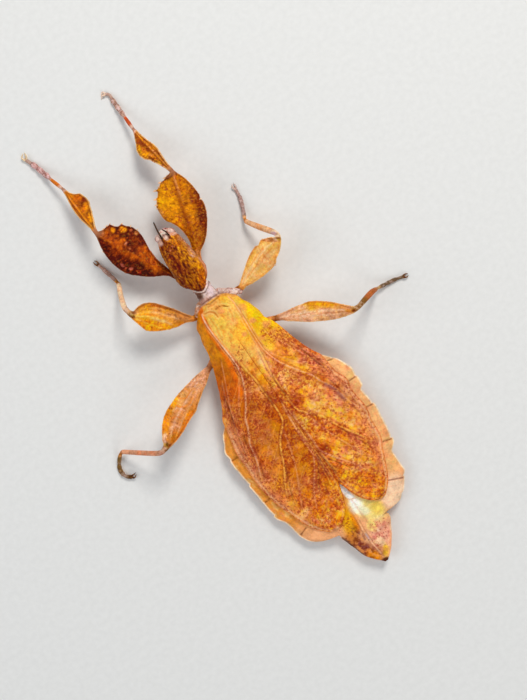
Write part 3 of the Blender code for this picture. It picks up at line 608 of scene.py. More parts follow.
def back_colours(p, top):
    """Colour and marks of the thorax's back and the tegmina."""
    uv_true = picture(p)
    wob = np.stack([clouds(p, 1.6, 5), clouds(p, 1.6, 9)], -1) * 2.6
    uv = uv_true + wob
    x, y = uv[..., 0], uv[..., 1]
    left = ramp(p[..., 0], 0.66, 0.54)
    rough_ = np.stack([clouds(p, 0.55, 6), clouds(p, 0.55, 10)], -1) * 3.4
    mirror = picture(mirrored(p)) + wob
    unseen = left * ramp(p[..., 1], -17, -23) * ramp(
        p[..., 0] + 0.10 * (p[..., 1] + 30), -1.0, -2.6)
    both = ((uv, 1 - unseen), (mirror, unseen))
    soft = clouds(p, 1.5, 31)
    fine = clouds(p, 0.62, 32)
    col = np.empty(p.shape)
    col[:] = tone(243, 160, 82)
    lay(col, tone(254, 182, 58), 0.75 * ramp(soft, 0.10, 0.50))
    lay(col, tone(236, 148, 104), 0.75 * ramp(-soft, 0.12, 0.50))
    lay(col, tone(222, 112, 40), 0.45 * ramp(fine, 0.15, 0.6))
    speck = np.full(p.shape[:-1], 0.62) + 0.16 * fine
    # Zones of the ground: centre, radii, turn, colour, weight, speckles.
    for cx, cy, rx, ry, turn, rgb, k, dens in (
            (282, 334, 24, 10, 38, (244, 166, 60), .8, .50),
            (258, 364, 15, 16, 50, (250, 184, 92), .85, .30),
            (276, 366, 16, 8, 35, (240, 132, 44), .8, .62),
            (294, 379, 18, 9, 30, (236, 146, 88), .8, .78),
            (316, 362, 28, 10, 42, (236, 138, 70), .8, .80),
            (346, 386, 16, 7, 50, (240, 140, 66), .7, .75),
            (288, 397, 16, 10, 45, (210, 92, 14), .85, .92),
            (318, 398, 20, 12, 20, (242, 152, 92), .8, .70),
            (348, 408, 20, 14, 45, (244, 154, 98), .8, .72),
            (318, 422, 22, 7, 25, (224, 118, 36), .8, .80),
            (312, 446, 34, 14, 48, (226, 124, 18), .85, .84),
            (362, 448, 24, 22, 60, (245, 155, 80), .8, .72),
            (364, 484, 24, 16, 10, (238, 134, 40), .85, .84),
            (338, 470, 16, 12, 45, (234, 130, 28), .8, .82),
            (326, 492, 18, 30, -38, (228, 118, 18), .85, .86)):
        for where, share in both:
            w = k * spot(where, cx, cy, rx, ry, turn, 0.7) * share
            lay(col, tone(*rgb), w)
            speck = speck + (dens - speck) * np.clip(w, 0, 1)
    lay(col, tone(254, 178, 40), 0.5 * ramp(clouds(p, 0.9, 33), 0.18, 0.55))
    lay(col, tone(238, 160, 128), 0.60 * ramp(clouds(p, 1.1, 36), 0.12, 0.5)
        * ramp(p[..., 1], -12, -20))
    lay(col, tone(254, 190, 60), 0.55 * ramp(clouds(p, 0.5, 38), 0.22, 0.5)
        * ramp(p[..., 1], -14, -22))
    lay(col, tone(168, 70, 30), 0.40 * ramp(-clouds(p, 0.5, 38), 0.25, 0.55)
        * ramp(p[..., 1], -14, -22))
    lay(col, tone(226, 104, 34), 0.40 * ramp(clouds(p, 0.7, 37), 0.15, 0.5)
        * ramp(p[..., 1], -12, -20))
    # Golden front.
    front = ramp(y + 0.42 * (x - 250) + 7 * soft, 352, 328)
    lay(col, tone(250, 188, 34), front)
    lay(col, tone(254, 204, 20), 0.7 * front * ramp(soft, 0.0, 0.4))
    lay(col, tone(240, 160, 40), 0.35 * front * ramp(-soft, 0.05, 0.4))
    peach = spot(uv, 222, 324, 13, 26, -28, 0.7)
    lay(col, tone(255, 180, 94), 0.9 * peach)
    lay(col, tone(244, 146, 90), 0.7 * peach * ramp(fine, 0.02, 0.35))
    lay(col, tone(255, 200, 104), 0.6 * peach * ramp(-fine, 0.05, 0.4))
    lay(col, tone(255, 192, 70), 0.75 * spot(uv, 217, 320, 8, 13, -20, 0.8))
    lay(col, tone(255, 196, 84), 0.6 * spot(uv, 226, 334, 7, 12, -20, 0.8))
    lay(col, tone(232, 160, 84), 0.7 * spot(uv, 212, 309, 9, 5, -20, 0.7))
    lay(col, tone(246, 190, 110), 0.6 * spot(uv, 236, 306, 6, 12, -35, 0.7))
    lay(col, tone(254, 200, 10), 0.9 * spot(uv, 256, 311, 20, 6, 38, 0.5))
    lay(col, tone(250, 184, 54), 0.7 * spot(uv, 242, 338, 9, 11, -20, 0.5))
    rosy = spot(uv, 247, 362, 10, 18, -32, 0.7)
    lay(col, tone(250, 182, 86), 0.85 * rosy)
    lay(col, tone(230, 124, 66), 0.45 * rosy * ramp(fine, 0.05, 0.4))
    lay(col, tone(254, 206, 110), 0.6 * rosy * ramp(-fine, 0.05, 0.4))
    lay(col, tone(252, 186, 40), 0.8 * spot(uv, 265, 340, 14, 5, 45, 0.6))
    speck *= 1 - 0.93 * front
    speck += 0.10 * spot(uv, 246, 368, 9, 14, -30, 0.7)
    grain_ = clouds(p, 0.42, 103)
    mottled(col, grain_, 0.75 * np.maximum(front, peach),
            (.76, .56, .42), (1.14, 1.10, 1.0))
    speck += 0.50 * spot(uv, 267, 324, 6, 5, 0, 0.8)
    speck += 0.45 * spot(uv, 266, 334, 8, 4, 40, 0.8)
    speck += 0.55 * spot(uv, 286, 337, 13, 7, 40, 0.8)
    for cx, cy, r, k in ((253, 320, 2.8, .8), (265, 324, 3.4, .75),
                         (270, 322, 2.0, .6), (244, 334, 2.4, .7),
                         (243, 307, 3.0, .55), (262, 338, 2.6, .6),
                         (285, 331, 2.6, .5), (272, 331, 2.4, .5)):
        lay(col, tone(226, 140, 92), k * spot(uv, cx, cy, r, hard=0.8))
    band, run_, _ = line_distance(uv, [(257, 346), (262, 356), (268, 368),
                                       (275, 380)])
    lay(col, tone(248, 216, 150), 0.6 * bell(band, 2.2) * (1 - left)
        * ramp(run_, -0.1, 0.2) * ramp(run_, 1.0, 0.8))
    grit = clouds(p, 0.30, 39)
    lay(col, tone(212, 104, 44), 0.34 * ramp(grit, 0.12, 0.5))
    lay(col, tone(255, 206, 96), 0.34 * ramp(-grit, 0.12, 0.5))
    # Yellow patches over the rear.
    for cx, cy, rx, ry, turn in (
            (281, 347, 5, 2.6, 20), (276, 355, 5, 3, 30), (288, 359, 4, 2, 20),
            (304, 368, 6, 3.4, 10), (307, 406, 9, 4.5, 5),
            (303, 391, 4, 4, 0), (330, 415, 8, 3, 25), (349, 398, 4, 3, 60),
            (334, 402, 4, 3, 0), (342, 410, 4, 3, 0), (354, 393, 3, 3, 0),
            (336, 447, 4, 7, 20), (345, 441, 4, 5, 0), (361, 459, 7, 5, 0),
            (344, 475, 4, 4, 0), (362, 481, 5, 4, 0), (371, 495, 7, 3, -15),
            (311, 459, 4, 7, 0), (311, 472, 4, 4, 0), (352, 427, 6, 4, 30),
            (379, 448, 3, 4, 0), (378, 479, 3, 4, 0), (322, 441, 4, 3, 0),
            (342, 507, 3, 6, -20), (333, 487, 3, 6, -20), (300, 447, 5, 3, 0),
            (333, 494, 2.4, 5, -20), (355, 488, 4, 2, 30)):
        for where, share in both:
            w = spot(where + rough_, cx, cy, rx * .9, ry * .9, turn,
                     0.9) * share
            w = w * (0.45 + 0.55 * ramp(clouds(p, 0.42, 109), -0.2, 0.2))
            lay(col, tone(254, 178, 34), 0.85 * w)
            speck *= 1 - 0.35 * w
    # Dark red-brown patches; the long first one, at (237, 368), is painted
    # shadow.
    for cx, cy, rx, ry, turn, k in (
            (237, 368, 2.8, 9, -28, 1.0), (296, 399, 6, 5, 10, .85),
            (272, 398, 9, 5, 35, .55), (247, 377, 9, 4, 35, .55),
            (324, 447, 5, 4, 40, .8), (318, 459, 3, 4, 0, .6),
            (341, 518, 3.6, 5, -20, 1.0), (346, 462, 8, 2.6, 25, .5),
            (333, 507, 3, 7, -25, .7), (352, 476, 8, 3, 30, .4),
            (308, 414, 10, 2.4, 10, .6), (344, 431, 6, 3, 30, .5),
            (340, 391, 4, 3, 45, .4), (289, 444, 6, 14, -35, .55),
            (320, 478, 4, 7, -35, .5), (371, 440, 3, 5, -30, .5)):
        for where, share in both:
            w = k * spot(where + rough_, cx, cy, rx, ry, turn, 0.9) * share
            lay(col, tone(172, 60, 10), 0.75 * w)
            speck += 0.3 * w
    rear = ramp(p[..., 1], -13, -18)
    rosy_bits = ramp(clouds(p, 0.36, 110), 0.12, 0.42)
    lay(col, tone(232, 128, 100), 0.42 * rear * rosy_bits)
    mottled(col, clouds(p, 0.46, 111), 0.55 * rear, (.62, .44, .44),
            (1.16, 1.20, 1.0))
    lay(col, tone(168, 84, 84), 0.30 * rear * ramp(
        clouds(p, 0.30, 112), 0.22, 0.5))
    uneven(col, p, rear, 140, ((0.42, .30, .50, .75), (0.85, .22, .42, .65),
                               (1.60, .16, .50, .70), (3.10, .12, .40, .65)),
           (.49, .46))
    # Painted shade: the left tegmen is made darker along the middle.
    shade = spot(uv, 274, 440, 28, 56, -38, 0.7) * left
    lay(col, tone(180, 84, 8), 0.68 * shade)
    lay(col, tone(240, 150, 50), 0.55 * ramp(soft, 0.05, 0.45) * shade)
    # The orange and amber strips left of the left ridge.
    strip_d, _, strip_side = line_distance(
        uv_true, [(203, 306), (206, 316), (214, 332), (224, 346), (232, 360),
                  (240, 380), (248, 405)])
    outer = ramp(strip_d, 0.6, 1.8) * (strip_side < 0) * left
    lay(col, tone(232, 112, 20), outer * ramp(y, 410, 390) * 0.95)
    lay(col, tone(214, 136, 20), outer * ramp(strip_d, 5.0, 7.5)
        * ramp(y, 400, 370) * 0.9)
    lay(col, tone(170, 66, 10), 0.55 * outer * ramp(strip_d, 3, 7)
        * ramp(y, 352, 372) * ramp(y, 412, 395))
    speck *= 1 - 0.45 * outer * ramp(y, 400, 380)
    mottled(col, clouds(p, 0.62, 108), 0.8 * outer * ramp(y, 410, 380),
            (.70, .52, .40), (1.15, 1.22, 1.1))
    return finish_back(p, uv, uv_true, col, speck, left, top)


def finish_back(p, uv, uv_true, col, speck, left, top):
    """Veins and creases over the ground colours of the back."""
    other = (left > 0.5)[..., None]
    mine = np.where(other, picture(mirrored(p)), uv_true)
    wav = clouds(p, 1.1, 66) * 0.55
    net = np.full(speck.shape, 0.55)
    crest, d, along, _ = ridge_profile(mine)
    d = d + wav
    vein_tone = tone(240, 176, 140)
    # painted shade: a dark band along the groove beside the raised crest
    lay(col, tone(176, 72, 30), 0.60 * bell(d - 2.2, 1.1)
        * ramp(along, .12, .3) * ramp(along, 1.0, .9))
    lay(col, np.where(other, tone(244, 196, 158), vein_tone),
        np.where(left > .5, 0.95 - 0.35 * ramp(along, .3, .5), 0.80)
        * bell(d, np.where(left > .5, 0.80, 0.48)) * ramp(along, 1.0, 0.92))
    lay(col, tone(208, 104, 50), 0.65 * bell(d - 1.15, 0.45)
        * ramp(along, 0.02, 0.1) * ramp(along, .6, .4))
    lay(col, tone(252, 200, 130), 0.45 * bell(d - 2.5, 0.6)
        * ramp(along, 0.02, 0.1) * ramp(along, .5, .3))
    height = 0.17 * crest - 0.06 * bell(d - 2.6, 1.3) * ramp(along, .05, .2)
    # Painted shadow, lilac, beneath the ridge where it turns brown and dark
    # beside the margin.
    lilac_shadow, _, _ = line_distance(mine, [(326, 384), (336, 390), (345, 400)])
    lay(col, tone(140, 84, 88), 0.75 * bell(lilac_shadow, 1.9) * (1 - 0.7 * left))
    for path, strong, pale in VEINS:
        d, along, _ = line_distance(mine, curve_points(path, 6))
        d = d + wav
        taper = ramp(along, 1.0, 0.85) * ramp(along, -0.02, 0.06)
        # painted shade: a dark line beside each raised vein
        lay(col, tone(160, 54, 14), 0.50 * strong * bell(d - 1.6, 0.8)
            * taper)
        lay(col, vein_tone if pale else tone(252, 184, 84),
            0.85 * strong * bell(d, 0.75) * taper)
        height = height + 0.12 * strong * bell(d, 1.0) * taper
        height = height - 0.04 * strong * bell(d - 2.4, 1.1) * taper
    for path in DARK_LINES:
        d, along, _ = line_distance(mine, path)
        taper = ramp(along, 1.0, 0.8) * ramp(along, 0.0, 0.15)
        lay(col, tone(110, 40, 30), 0.62 * bell(d + wav, 0.85) * taper)
        height = height - 0.05 * bell(d, 1.0) * taper
    # Side veins: evenly spaced curves that run out and back to the margin.
    across = np.abs(p[..., 0] - RIDGE_X)
    phase = (p[..., 1] + 0.55 * across + 0.022 * across ** 2) / 2.0
    phase = phase + 0.16 * clouds(p, 2.4, 77)
    ribs = np.abs((phase % 1) - 0.5) * 2
    rib = ramp(ribs, 0.80, 1.0) * ramp(across, 2.0, 4.5) * ramp(
        p[..., 1], -13, -18)
    height = height + 0.05 * rib
    lay(col, tone(248, 172, 96), 0.30 * rib)
    groove = ramp(np.abs(((phase + 0.09) % 1) - 0.5) * 2, 0.86, 1.0)
    lay(col, tone(160, 60, 20), 0.26 * groove * ramp(across, 2.5, 5)
        * ramp(p[..., 1], -13, -18))
    fine = np.abs(((phase * 3.7 + 0.3 * clouds(p, 1.2, 78)) % 1) - 0.5) * 2
    stria = ramp(fine, 0.45, 1.0) * np.maximum(
        spot(mine, 316, 364, 26, 8, 42, 0.7),
        spot(mine, 350, 396, 22, 7, 48, 0.7))
    lay(col, tone(150, 62, 40), 0.42 * stria)
    height = height + 0.02 * stria
    # The crease and knob behind the neck, and small folds of the front; painted
    # shade darkens each crease and fold, with a pale band beside it.
    d, along, _ = line_distance(uv_true, [(216, 309), (219, 306.5),
                                          (223, 305.6), (228, 306)])
    broken = ramp(clouds(p, 0.5, 107), -0.35, 0.15)
    # painted shade in the crease
    lay(col, tone(104, 52, 8), (0.40 + 0.5 * broken) * bell(d, 0.85))
    lay(col, tone(250, 212, 120), 0.5 * bell(d - 2.0, 0.8) * ramp(
        along, 0.1, 0.4))
    height = height - 0.16 * bell(d, 1.1)
    for fold, deep in (([(205, 314), (209, 311.8), (214, 312.6), (218, 317)],
                        .75), ([(208, 307), (213, 305), (217, 302)], .5),
                       ([(229, 309), (232, 314), (233, 321)], .45),
                       ([(211, 320), (216, 327), (221, 337)], .35)):
        d, along, _ = line_distance(uv_true + wav[..., None], fold)
        # painted shade along each fold, with a pale band beside it
        lay(col, tone(190, 96, 40), deep * bell(d, 0.8))
        lay(col, tone(254, 208, 130), 0.7 * deep * bell(d - 1.7, 0.8))
        height = height - 0.10 * deep * bell(d, 1.0)
    knob = spot(uv_true, 221, 311.5, 3.2, 2.2, -10, 0.6)
    lay(col, tone(222, 140, 90), 0.7 * knob)
    height = height + 0.16 * knob
    d, along, _ = line_distance(uv_true, [(215, 313), (218, 315.5),
                                          (222, 316)])
    lay(col, tone(190, 112, 50), 0.5 * bell(d, 0.9))
    d, along, _ = line_distance(uv_true, [(203, 305), (210, 304), (216, 299),
                                          (219, 296)])
    lay(col, tone(140, 76, 40), 0.75 * bell(d, 1.0))
    if top is not None:
        height = height * top
    marks = np.stack([np.clip(speck, 0, 1), net, np.zeros_like(net)], -1)
    return col, marks, height


def tail_colours(p, up):
    """Colour and marks of the abdomen, margins included."""
    uv_true = picture(p)
    wob = np.stack([clouds(p, 1.8, 15), clouds(p, 1.8, 19)], -1) * 2.0
    uv = uv_true + wob
    col = np.empty(p.shape)
    col[:] = PEACH
    right = ramp(p[..., 0], -2.0, 2.0)
    lay(col, tone(232, 148, 60), 1 - right)
    speck = 0.14 + 0.1 * (1 - right)
    lay(col, SALMON, 0.6 * ramp(clouds(p, 2.0, 41), 0.0, 0.4) * right)
    lay(col, tone(250, 196, 120), 0.6 * ramp(clouds(p, 1.3, 42), .1, .45))
    lay(col, tone(222, 130, 96), 0.5 * ramp(clouds(p, 0.8, 43), .15, .5))
    lay(col, GOLD_CREAM, 0.4 * spot(uv, 395, 470, 7, 12, 0, .7))
    tail = ramp(p[..., 1], -46, -52)
    lay(col, tone(236, 168, 118), tail)
    speck = speck + 0.10 * tail
    lay(col, DEEP_ORANGE, 0.9 * spot(uv, 334, 500, 9, 24, -28, 0.5))
    lay(col, RED_BROWN, 0.7 * spot(uv, 338, 516, 6, 9, -20, 0.6))
    blot = clouds(p, 0.75, 47)
    bit = clouds(p, 0.42, 48)
    for cx, cy, rx, ry, turn, rgb, k in (
            (346, 505, 6, 8, -25, (226, 150, 40), .85),
            (349, 524, 6.5, 13, -14, (236, 176, 24), .95),
            (355.5, 521, 3.2, 9, -22, (238, 142, 20), .9),
            (380, 532, 10, 14, 0, (228, 160, 136), .85),
            (372, 525, 4.5, 5.5, 0, (248, 214, 120), .85),
            (365, 537, 4, 6, -30, (240, 190, 140), .7),
            (366, 549, 9, 4, 32, (176, 112, 84), .8),
            (352, 538, 5, 8, -35, (200, 120, 40), .7),
            (374, 554, 6, 4, 25, (240, 152, 20), .9),
            (380, 541, 5, 5, 0, (246, 208, 162), .75),
            (385.5, 550, 3, 6, 0, (242, 192, 44), .9),
            (379, 549, 4, 4, 0, (226, 150, 110), .6),
            (394, 492, 12, 15, 10, (250, 204, 170), .85),
            (367, 508, 18, 9.5, 26, (255, 214, 130), .98),
            (356, 505, 6, 6, 0, (253, 246, 228), .95),
            (363, 511, 6, 4, 20, (252, 236, 200), .8),
            (378, 507, 6.0, 6.5, 0, (255, 204, 84), .8),
            (373, 555.5, 7, 4, 25, (248, 152, 14), .85)):
        lay(col, tone(*rgb), k * spot(uv, cx, cy, rx, ry, turn, 0.6))
    mott = np.maximum(spot(uv, 358, 537, 4.5, 11, -25, .9),
                      spot(uv, 365, 549, 12, 5.5, 32, .9))
    mott = np.maximum(mott, 0.8 * spot(uv, 353, 541, 6, 7, -30, .9))
    mott = np.maximum(mott, 0.6 * spot(uv, 378, 551, 6, 6, 0, .9))
    lay(col, tone(150, 66, 40), 0.5 * mott)
    lay(col, tone(110, 30, 18), 0.85 * mott * ramp(
        0.6 * blot + 0.6 * bit, -0.12, 0.14))
    lay(col, tone(140, 84, 84), 0.6 * mott * ramp(bit, 0.1, 0.5))
    lay(col, tone(236, 150, 60), 0.5 * mott * ramp(-blot, 0.1, 0.4))
    side_ = spot(uv, 381, 534, 11, 15, 0, .8)
    lay(col, tone(206, 110, 96), 0.75 * side_ * ramp(blot, 0.08, 0.4))
    lay(col, tone(248, 214, 176), 0.6 * side_ * ramp(-blot, 0.12, 0.45))
    drop_d, drop_a, _ = line_distance(uv_true, [(341, 486), (345, 491.5),
                                                (350, 496.5), (353, 500)])
    lay(col, tone(255, 250, 238), 0.98 * ramp(drop_d, 2.6 + 1.9 * drop_a,
                                              1.2 + 1.5 * drop_a))
    d, along, _ = line_distance(uv_true, [(343, 497), (349, 499.5),
                                          (356, 498)])
    lay(col, tone(206, 130, 60), 0.6 * bell(d, 0.7))
    lay(col, tone(58, 20, 22), 0.95 * spot(uv_true, 386.0, 560.6, 5.2, 3.4,
                                           -20, .5))
    speck = speck + 0.35 * spot(uv, 340, 510, 9, 22, -25, 0.7)
    speck = speck + 0.35 * spot(uv, 380, 532, 9, 16, 0, 0.7)
    speck = speck * (1 - 0.85 * spot(uv, 362, 507, 18, 10, 28, 0.5))
    height = np.zeros(speck.shape)
    # Raised middle ridge of the end lobe.
    d, along, _ = line_distance(uv_true, [(346, 498), (352, 511), (358, 520.5),
                                          (363, 530), (368, 537), (373, 544),
                                          (381, 553)])
    lay(col, tone(246, 204, 160), 0.55 * bell(d, 0.65) * ramp(along, 0, .1)
        * ramp(clouds(p, 0.5, 113), -0.4, 0.1))
    lay(col, tone(186, 158, 164), 0.8 * bell(d, 1.0) * spot(
        uv_true, 368, 536, 3, 4, 0, .6))
    lay(col, tone(160, 88, 56), 0.42 * bell(d - 1.4, 0.6) * ramp(
        along, .1, .3))
    height = height + 0.055 * bell(d, 1.2)
    for path in ([(352, 500), (366, 520), (378, 534)],
                 [(350, 507), (360, 528), (368, 545)]):
        d, along, _ = line_distance(uv_true, path)
        lay(col, tone(170, 100, 80), 0.35 * bell(d, 0.9))
        height = height - 0.04 * bell(d, 1.0)
    d, along, _ = line_distance(uv_true, [(341, 536.5), (350, 544.5),
                                          (360, 552.5), (370, 557.5)])
    lay(col, DARK, 0.8 * bell(d, 1.3) * ramp(along, 0, 0.06)
        * ramp(along, 1.0, 0.75))
    mottled(col, clouds(p, 0.42, 120), 0.45 * right * (1 - tail),
            (.84, .68, .60), (1.06, 1.08, 1.06))
    # Where one segment's margin ends and the next begins.
    for a, b in SEGMENT_LINES:
        d, along, _ = line_distance(uv_true, [a, b])
        lay(col, MAROON, 0.85 * bell(d, 0.75))
        height = height - 0.10 * bell(d, 1.1)
    # Faint veins running out to the margin.
    across = np.abs(p[..., 0])
    phase = (p[..., 1] + 0.5 * across) / 1.7 + 0.15 * clouds(p, 2.0, 55)
    rib = ramp(np.abs((phase % 1) - 0.5) * 2, 0.8, 1.0)
    lay(col, tone(206, 120, 80), 0.18 * rib)
    height = height + 0.03 * rib
    # The belly is plainer, with rings between the segments.
    down = ramp(up, 0.1, -0.3)
    lay(col, tone(226, 150, 84), 0.96 * down)
    lay(col, tone(240, 176, 110), 0.5 * down * ramp(clouds(p, 2.2, 56), 0, .4))
    lay(col, tone(196, 112, 58), 0.4 * down * ramp(clouds(p, 1.1, 57), .1,
                                                    .5))
    mid_ = bell(across - 0.0, 1.1) + 0.7 * bell(across - 6.5, 0.8)
    lay(col, tone(206, 124, 66), 0.35 * down * np.clip(mid_, 0, 1))
    for k in range(11):
        yk = -4.7 - 5.4 * k
        lay(col, tone(150, 76, 40), 0.7 * down * bell(
            np.hypot(across - 6.5 * ramp(yk, -66, -14), p[..., 1] - yk),
            0.45))
    ring = np.abs(((p[..., 1] + 2) / 5.4 % 1) - 0.5) * 2
    groove = ramp(ring, 0.93, 1.0) * ramp(across, 11, 7)
    lay(col, RUST, 0.45 * groove * down)
    height = height - 0.10 * groove * down
    speck = np.clip(speck + 0.1 * down, 0, 1)
    marks = np.stack([speck, np.full(speck.shape, .35),
                      np.zeros(speck.shape)], -1)
    return col, marks, height


def dash(uv, x0, y0, x1, y1, w):
    d, _, _ = line_distance(uv, [(x0, y0), (x1, y1)])
    return bell(d, w)


HEAD_DASHES = [(160, 245, 163, 250, 1.2), (169, 243, 171, 243.6, 1.1),
               (173, 245, 174, 249, 1.3), (175.6, 246, 177, 250, 1.2),
               (171, 248, 173, 251, 1.0), (168, 252, 171, 258, 1.4),
               (166, 251, 167.4, 254, .9), (172, 255, 174.4, 260, 1.2),
               (176, 261, 180, 269.5, 1.7), (174.6, 266.5, 176, 269, 1.3),
               (183, 261.5, 185.6, 267, 1.3), (181, 251, 182.4, 254, .8),
               (184.4, 270.5, 187, 276.5, 1.3), (180, 272, 182, 276, .8),
               (171, 272, 177, 279.5, 1.7), (179, 279.5, 183.5, 285, 1.3),
               (188, 280.5, 193, 288, 1.2), (196, 280, 199.6, 286.4, 1.6),
               (192, 288.4, 198.6, 290.4, 1.2), (190, 277, 191.4, 279, .7),
               (188, 264, 189.6, 267, .7), (193, 270, 194.6, 273, .6),
               (178, 255, 179.6, 258, .8), (186, 286, 189, 290, 1.3),
               (197, 272, 198.4, 275, .6), (201, 276, 202, 279, .7),
               (165, 257.5, 167, 261.5, .9), (186.5, 256, 188, 259, .6),
               (177.5, 241, 179, 243, .7), (164, 244.5, 165.6, 247, .7)]


def front_colours(p, up, ring):
    """Colour and marks of the head and prothorax."""
    uv_true = picture(p)
    uv = uv_true + np.stack([clouds(p, 0.8, 3), clouds(p, 0.8, 4)], -1) * 1.1
    y = p[..., 1]
    fine = clouds(p, 0.42, 62)
    q = p * np.array([1 / .36, 1 / .80, 1 / .5])
    streak = clouds(q, 1.0, 61, 3)
    col = np.empty(p.shape)
    col[:] = tone(158, 80, 8)
    lay(col, tone(196, 118, 14), 0.9 * spot(uv, 196, 265, 9, 16, -28, 0.8))
    lay(col, tone(206, 132, 14), 0.8 * spot(uv, 197, 263, 4, 7, -20, 0.8))
    lay(col, tone(190, 118, 18), 0.6 * spot(uv, 182, 252, 5, 9, -25, 0.8))
    lay(col, tone(204, 106, 14), 0.8 * spot(uv, 203, 275, 4, 10, -10, 0.8))
    lay(col, tone(186, 120, 24), 0.6 * spot(uv, 189, 279, 4, 4, 0, 0.8))
    lay(col, tone(192, 104, 20), 0.6 * spot(uv, 172, 240, 9, 5, 25, 0.8))
    lay(col, tone(218, 138, 44), 0.7 * spot(uv, 170, 236.5, 6, 2.6, 30, 0.8))
    lay(col, tone(130, 56, 8), 0.55 * spot(uv, 168, 258, 6, 18, -28, 0.8))
    lay(col, tone(204, 130, 34), 0.45 * ramp(streak, 0.25, 0.6))
    lay(col, tone(120, 44, 6), 0.55 * ramp(-streak, 0.12, 0.5))
    lay(col, tone(116, 50, 4), 0.55 * spot(uv, 188, 276, 7, 8, -20, 0.8))
    lay(col, tone(116, 42, 6), 0.40 * spot(uv, 179, 262, 6, 10, -28, 0.8))
    # Short dark dashes in rough rows along the head.
    dark = np.zeros(y.shape)
    for x0, y0, x1, y1, w in HEAD_DASHES:
        dark = np.maximum(dark, dash(uv, x0, y0, x1, y1, w * 0.88))
    dark = dark * ramp(up, -0.35, 0.0)
    side = ramp(up, 0.35, 0.0)
    dark = np.maximum(dark, 0.75 * side * ramp(streak, 0.05, 0.4))
    dark = dark * ramp(y, 14.4, 13.6)
    lay(col, tone(80, 14, 2), 0.92 * dark)
    lay(col, tone(206, 126, 84), 0.6 * spot(uv_true, 172.4, 246.6, 1.1, .9))
    lay(col, tone(196, 112, 70), 0.5 * spot(uv_true, 170.2, 250.4, .9, .8))
    lay(col, tone(88, 20, 4), 0.7 * ramp(ring, 3.6, 2.8) * ramp(
        p[..., 0], 1.6, 0.2))
    lay(col, tone(96, 26, 8), 0.75 * ramp(p[..., 0], -1.6, -2.6)
        * ramp(y, 7.0, 4.5))
    # small dark and pale grains between the dashes
    grit = clouds(p * np.array([1.4, 0.8, 1]), 0.30, 65)
    lay(col, tone(104, 40, 2), 0.55 * ramp(grit, 0.05, 0.45) * (1 - dark))
    lay(col, tone(212, 136, 26), 0.50 * ramp(-grit, 0.12, 0.5) * (1 - dark))
    lay(col, tone(98, 26, 2), 0.75 * (1 - dark) * ramp(
        grain(p * np.array([1.5, 0.8, 1]), 0.34, 75), 0.30, 0.75))
    lay(col, tone(206, 128, 22), 0.6 * (1 - dark) * ramp(
        grain(p, 0.30, 76), 0.45, 0.85))
    mottled(col, clouds(p * np.array([1.3, 0.8, 1]), 0.34, 105), 0.7 + 0 * y,
            (.60, .46, .38), (1.26, 1.34, 1.1))
    uneven(col, p * np.array([1.3, 0.8, 1]), 0 * y + 1, 160,
           ((0.36, .56, .90, 1.3), (0.62, .24, .36, .8)))
    # Pink lilac rim at the right and the pale pink front.
    rim, _, _ = line_distance(uv_true, [(180, 237), (186, 242), (190, 248),
                                        (193, 255)])
    tiny = clouds(p, 0.26, 63)
    lay(col, tone(204, 146, 122), 0.75 * bell(rim, 2.3) * ramp(
        tiny, -0.45, 0.1))
    lay(col, tone(230, 190, 176), 0.7 * bell(rim, 2.6) * ramp(
        tiny, 0.1, 0.45))
    lay(col, tone(130, 60, 34), 0.7 * bell(rim, 2.4) * ramp(
        -tiny, 0.12, 0.4))
    rim, _, _ = line_distance(uv_true, [(199, 258), (204, 264), (207, 273)])
    lay(col, tone(222, 152, 122), 0.6 * bell(rim, 1.1))
    muzzle = ramp(y + 0.25 * p[..., 0], 13.7, 14.4)
    spotty = clouds(p, 0.42, 64)
    lay(col, tone(220, 178, 166), 0.92 * muzzle)
    lay(col, tone(252, 238, 222), 0.95 * muzzle * ramp(spotty, 0.02, 0.3))
    lay(col, tone(112, 44, 54), 0.9 * muzzle * ramp(-spotty, 0.12, 0.38))
    lay(col, tone(216, 128, 70), 0.6 * muzzle * spot(uv, 174, 234, 6, 3, 30,
                                                    .7))
    lay(col, tone(230, 196, 186), 0.6 * spot(uv, 160, 243.5, 2.2, 2.6, 0,
                                             0.7))
    lay(col, tone(240, 218, 204), 0.85 * spot(uv, 166.4, 238.2, 1.9, 1.5,
                                              30, 0.9))
    for path in ([(161, 236.5), (163, 240.5), (163.5, 242.5)],
                 [(166, 234), (169, 236.4), (170, 237)]):
        d, _, _ = line_distance(uv_true, path)
        lay(col, DARK, 0.85 * bell(d, 1.0) * (up > 0))
    d, _, _ = line_distance(uv_true, [(162, 228.5), (164, 231), (167, 232)])
    lay(col, tone(110, 54, 66), 0.75 * bell(d, 0.9))
